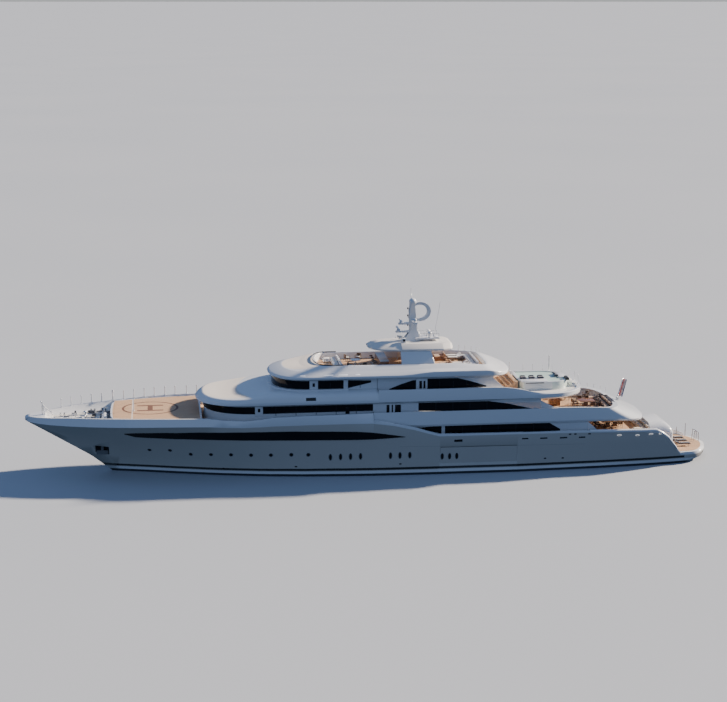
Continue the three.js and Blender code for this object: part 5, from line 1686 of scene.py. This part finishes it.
def makePlatform():
    bm = nodeMesh("hull_stern", flatten=False)
    away = [
        face for face in bm.faces
        if face.normal.z < 0.9 or abs(face.calc_center_median().z / shipScale - stern["platform"]) > 0.02
    ]
    bmesh.ops.delete(bm, geom=away, context="FACES")
    inner = bmesh.ops.dissolve_faces(bm, faces=bm.faces)["region"]
    rim = bmesh.ops.inset_region(
        bm, faces=inner, thickness=stern["margin"] * shipScale, use_even_offset=True, use_boundary=True,
    )["faces"]
    bmesh.ops.delete(bm, geom=rim, context="FACES")
    bmesh.ops.solidify(bm, geom=bm.faces[:], thickness=0.012)
    outward(bm)
    low = min(vert.co.z for vert in bm.verts)
    bmesh.ops.translate(bm, verts=bm.verts, vec=(0, 0, 1.302 * shipScale - low))
    settled("platform_teak", bm, "teak")


def makeStern():
    treads, steel, white, dark, pads = bmesh.new(), bmesh.new(), bmesh.new(), bmesh.new(), bmesh.new()
    stair = stern["stair"]
    run = (stair["top"][0] - stair["foot"][0]) / stair["steps"]
    drop = (stair["top"][1] - stair["foot"][1]) / stair["steps"]
    for i in range(stair["steps"]):
        fore, top = stair["top"][0] - run * i, stair["top"][1] - drop * i
        outer = along(stern["inside"], fore - run) - 0.03
        block(treads, (fore - run, stair["inner"], top - drop - 0.02), (fore, outer, top - 0.03), 0.008, 1)
        block(treads, (fore - run - 0.02, stair["inner"] + 0.04, top - 0.03), (fore, outer - 0.04, top), 0.01)
    bothSides(treads)
    settled("stern_stairs", treads, "teak", extra=["white"])
    floor = stern["platform"]
    for x, y, high in stern["posts"]:
        rod(steel, (x, y, floor), (x, y, floor + high), 0.045, 0.035)
    for y in (-1.0, -0.2):
        bends = [(x, y, z) for x, z in stern["handrails"]]
        for start, end in zip(bends, bends[1:]):
            rod(steel, start, end, 0.05)
        for spot in bends[1:-1]:
            globe(steel, spot, 0.051, rings=6)
    for x, y in stern["bollards"]:
        rod(steel, (x, y, floor), (x, y, floor + 0.25), 0.08, 0.1, 12)
    settled("platform_rails", steel, "steel")
    loft(white, [
        [(x, y - 0.1, floor + 0.001), (x, y + 0.1, floor + 0.001), (x, y + 0.06, top), (x, y - 0.06, top)]
        for x, y, top in stern["coaming"]
    ])
    settled("platform_coaming", white, "white")
    for y in (-1.0, 0.4, 1.8):
        loose("lounger", dark, pads, (-35.5, y, floor + 0.03), 180)
    settled("platform_loungers", dark, "brown")
    padded("platform_lounger_pads", pads, "navy", thin=True)


def makeSideCaps():
    # white cap along the top of the ship's side, from the main deck down beside the stairs
    bm = bmesh.new()
    sections = []
    for i in range(stern["capSteps"] + 1):
        x = stern["capFrom"] + (stern["capTo"] - stern["capFrom"]) * i / stern["capSteps"]
        level = along(hullBuild["knuckle"], x) - 0.12
        side = hullTree.ray_cast(at(x, 10, level), Vector((0, -1, 0)))[0].y / shipScale
        top = hullTree.ray_cast(at(x, side - 0.09, 9), Vector((0, 0, -1)))[0].z / shipScale
        sections.append([(x, side + out, top + rise) for out, rise in stern["capSection"]])
    loft(bm, sections)
    bothSides(bm)
    settled("side_cap_rails", bm, "white", sharp=50)


makePlatform()
makeStern()
makeSideCaps()
smoothCopy("transom_door", "white", 34, body="transom_door")
print("decks done")


# mast fittings and lamps over the hardtop: mesh, kind, both sides or one, two ends or corners, and sizes
mastGear = [
    ("domes", globe, True, (-4.55, 1.95, 16.6), 0.2, (1, 1, 1.1)),
    ("domes", rod, True, (-4.55, 1.95, 16.36), (-4.55, 1.95, 16.5), 0.08),
    ("lamps", rod, True, (-4.55, 1.3, 16.37), (-4.55, 1.3, 16.55), 0.07),
    ("stays", rod, True, (-4.5, 2.1, 16.2), (-3.2, 1.4, 14.02), 0.01, 0.01, 5),
    ("stays", rod, True, (-4.5, 0.9, 16.2), (-5.6, 0.8, 14.36), 0.01, 0.01, 5),
    ("domes", rod, True, (-6.4, 0.6, 14.36), (-6.4, 0.6, 14.75), 0.16, 0.2, 14),
    ("domes", globe, True, (-6.4, 0.6, 14.85), 0.26, (1, 1, 0.9)),
    ("stays", rod, True, (-3.5, 0.45, 14.35), (-2.9, 0.45, 14.35), 0.05, 0.14, 12),
    ("domes", block, False, (-3.6, 1.2, 14.005), (-3.1, 1.75, 14.5), 0.06),
    ("lamps", rod, False, (-3.35, 1.75, 14.3), (-3.35, 1.85, 14.3), 0.14, 0.14, 16),
    ("domes", block, False, (-7.4, -0.85, 14.36), (-7.0, 0.85, 14.42), 0.02),
    ("stays", rod, True, (-5.2, 0.88, 14.85), (-7.4, 0.88, 14.85), 0.018, 0.018, 6),
    *(("lamps", block, False, (-4.08, -0.11, z), (-3.94, 0.11, z + 0.2), 0.02) for z in (14.6, 15.62, 16.7, 17.5)),
    *(
        ("stays", rod, True, (x, 0.88, 14.36), (x, 0.88, 14.85), 0.015, 0.015, 6)
        for x in (-5.2, -6.0, -6.8, -7.4)
    ),
]
mastLooks = {"domes": "white", "lamps": "black", "stays": "steel"}


def makeMastGear():
    meshes = {name: bmesh.new() for name in mastLooks}
    fitted(meshes, mastGear)
    for name, look in mastLooks.items():
        settled(f"mast_{name}", meshes[name], look)


makeMastGear()


# ensign, a hung sheet in soft folds on the aft side of its staff
ensign = {
    "hoist": 2.0,
    "fly": 1.5,
    "top": 8.95,
    "staff": [(6.63, -28.2), (9.1, -28.85)],  # height and x of the staff
    "gap": 0.07,
    "squeeze": 0.3,  # how far aft a metre of gathered fly reaches
    "sway": 0.152,
    "folds": 2,
    "sag": 0.12,
}


def makeEnsign():
    e = ensign
    bm = bmesh.new()
    across, down = 48, 26
    bmesh.ops.create_grid(bm, x_segments=across, y_segments=down, size=0.5, calc_uvs=True)
    layer = bm.loops.layers.uv.new("cloth")
    spots = {vert: (vert.co.x + 0.5, vert.co.y + 0.5) for vert in bm.verts}
    for face in bm.faces:
        for loop in face.loops:
            loop[layer].uv = spots[loop.vert]
    for vert, (u, v) in spots.items():
        z = e["top"] - e["hoist"] * (1 - v)
        phase = u * e["folds"] * 2 * math.pi
        x = along(e["staff"], z) - e["gap"] - u * e["fly"] * e["squeeze"]
        y = e["sway"] * math.sin(phase + 0.6 * (1 - v)) * eased(u, 0, 0.12)
        vert.co = at(x, y, z - e["sag"] * u * u)
    flag = settled("ensign_cloth", bm, "flag", stands=["ensign"], sharp=180)


makeEnsign()


# what is left of the CAD's own nodes, merged and smooth, and rims on the sliding leaves
plainCopies = {
    "propeller": "bronze", "rudder": "bottom", "stabiliser": "bottom", "anchor": "iron", "shaft_bracket": "bottom",
    "main_deck_glass": "glass", "bridge_deck_glass": "glass",
}


def makeLeafFrame(node):
    low, high = (Vector(corner) / shipScale for corner in nodeBox(node))
    bm = bmesh.new()
    rim, proud = 0.07, 0.002
    x0, x1 = low.x - proud, high.x + proud
    for y0, y1, z0, z1 in (
        (low.y, low.y + rim, low.z, high.z), (high.y - rim, high.y, low.z, high.z),
        (low.y + rim, high.y - rim, low.z, low.z + rim * 1.5), (low.y + rim, high.y - rim, high.z - rim, high.z),
    ):
        block(bm, (x0, y0, z0), (x1, y1, z1), 0.003)
    settled(f"{node}_rim", bm, "steel", body=node)


def nodeBox(node):
    spots = [vert.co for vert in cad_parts[node].data.vertices]
    return [[pick(spot[i] for spot in spots) for i in range(3)] for pick in (min, max)]


for side in ("port", "starboard"):
    for start, look in plainCopies.items():
        node = f"{start}_{side}"
        moves = start in ("propeller", "rudder", "stabiliser")
        smoothCopy(node, look, 30, body=node if moves else "ship")
    for deck in ("main", "upper", "bridge"):
        node = f"{deck}_deck_door_{side}"
        smoothCopy(node, "glass", 30, body=node)
        makeLeafFrame(node)
for level in ("lower", "upper"):
    smoothCopy(f"radar_scanner_{level}", "white", 30, body=f"radar_scanner_{level}", soften=0.008)
smoothCopy("ensign_staff", "steel", 50)
print("fittings done")


def floor():
    bm = bmesh.new()
    bmesh.ops.create_circle(bm, cap_ends=True, segments=64, radius=light["floorRadius"])
    mesh = bpy.data.meshes.new("floor")
    bm.to_mesh(mesh)
    bm.free()
    obj = bpy.data.objects.new("floor", mesh)
    paint = Paint("floor", light["floor"][0], 0.6)
    paint.feed("Base Color", paint.mixed(paint.noise(0.02, 2), *light["floor"]))
    mesh.materials.append(paint.material)
    bpy.context.scene.collection.objects.link(obj)
    obj.visible_diffuse = obj.visible_glossy = False  # keeps the pale floor's bounce off the shaded side


floor()
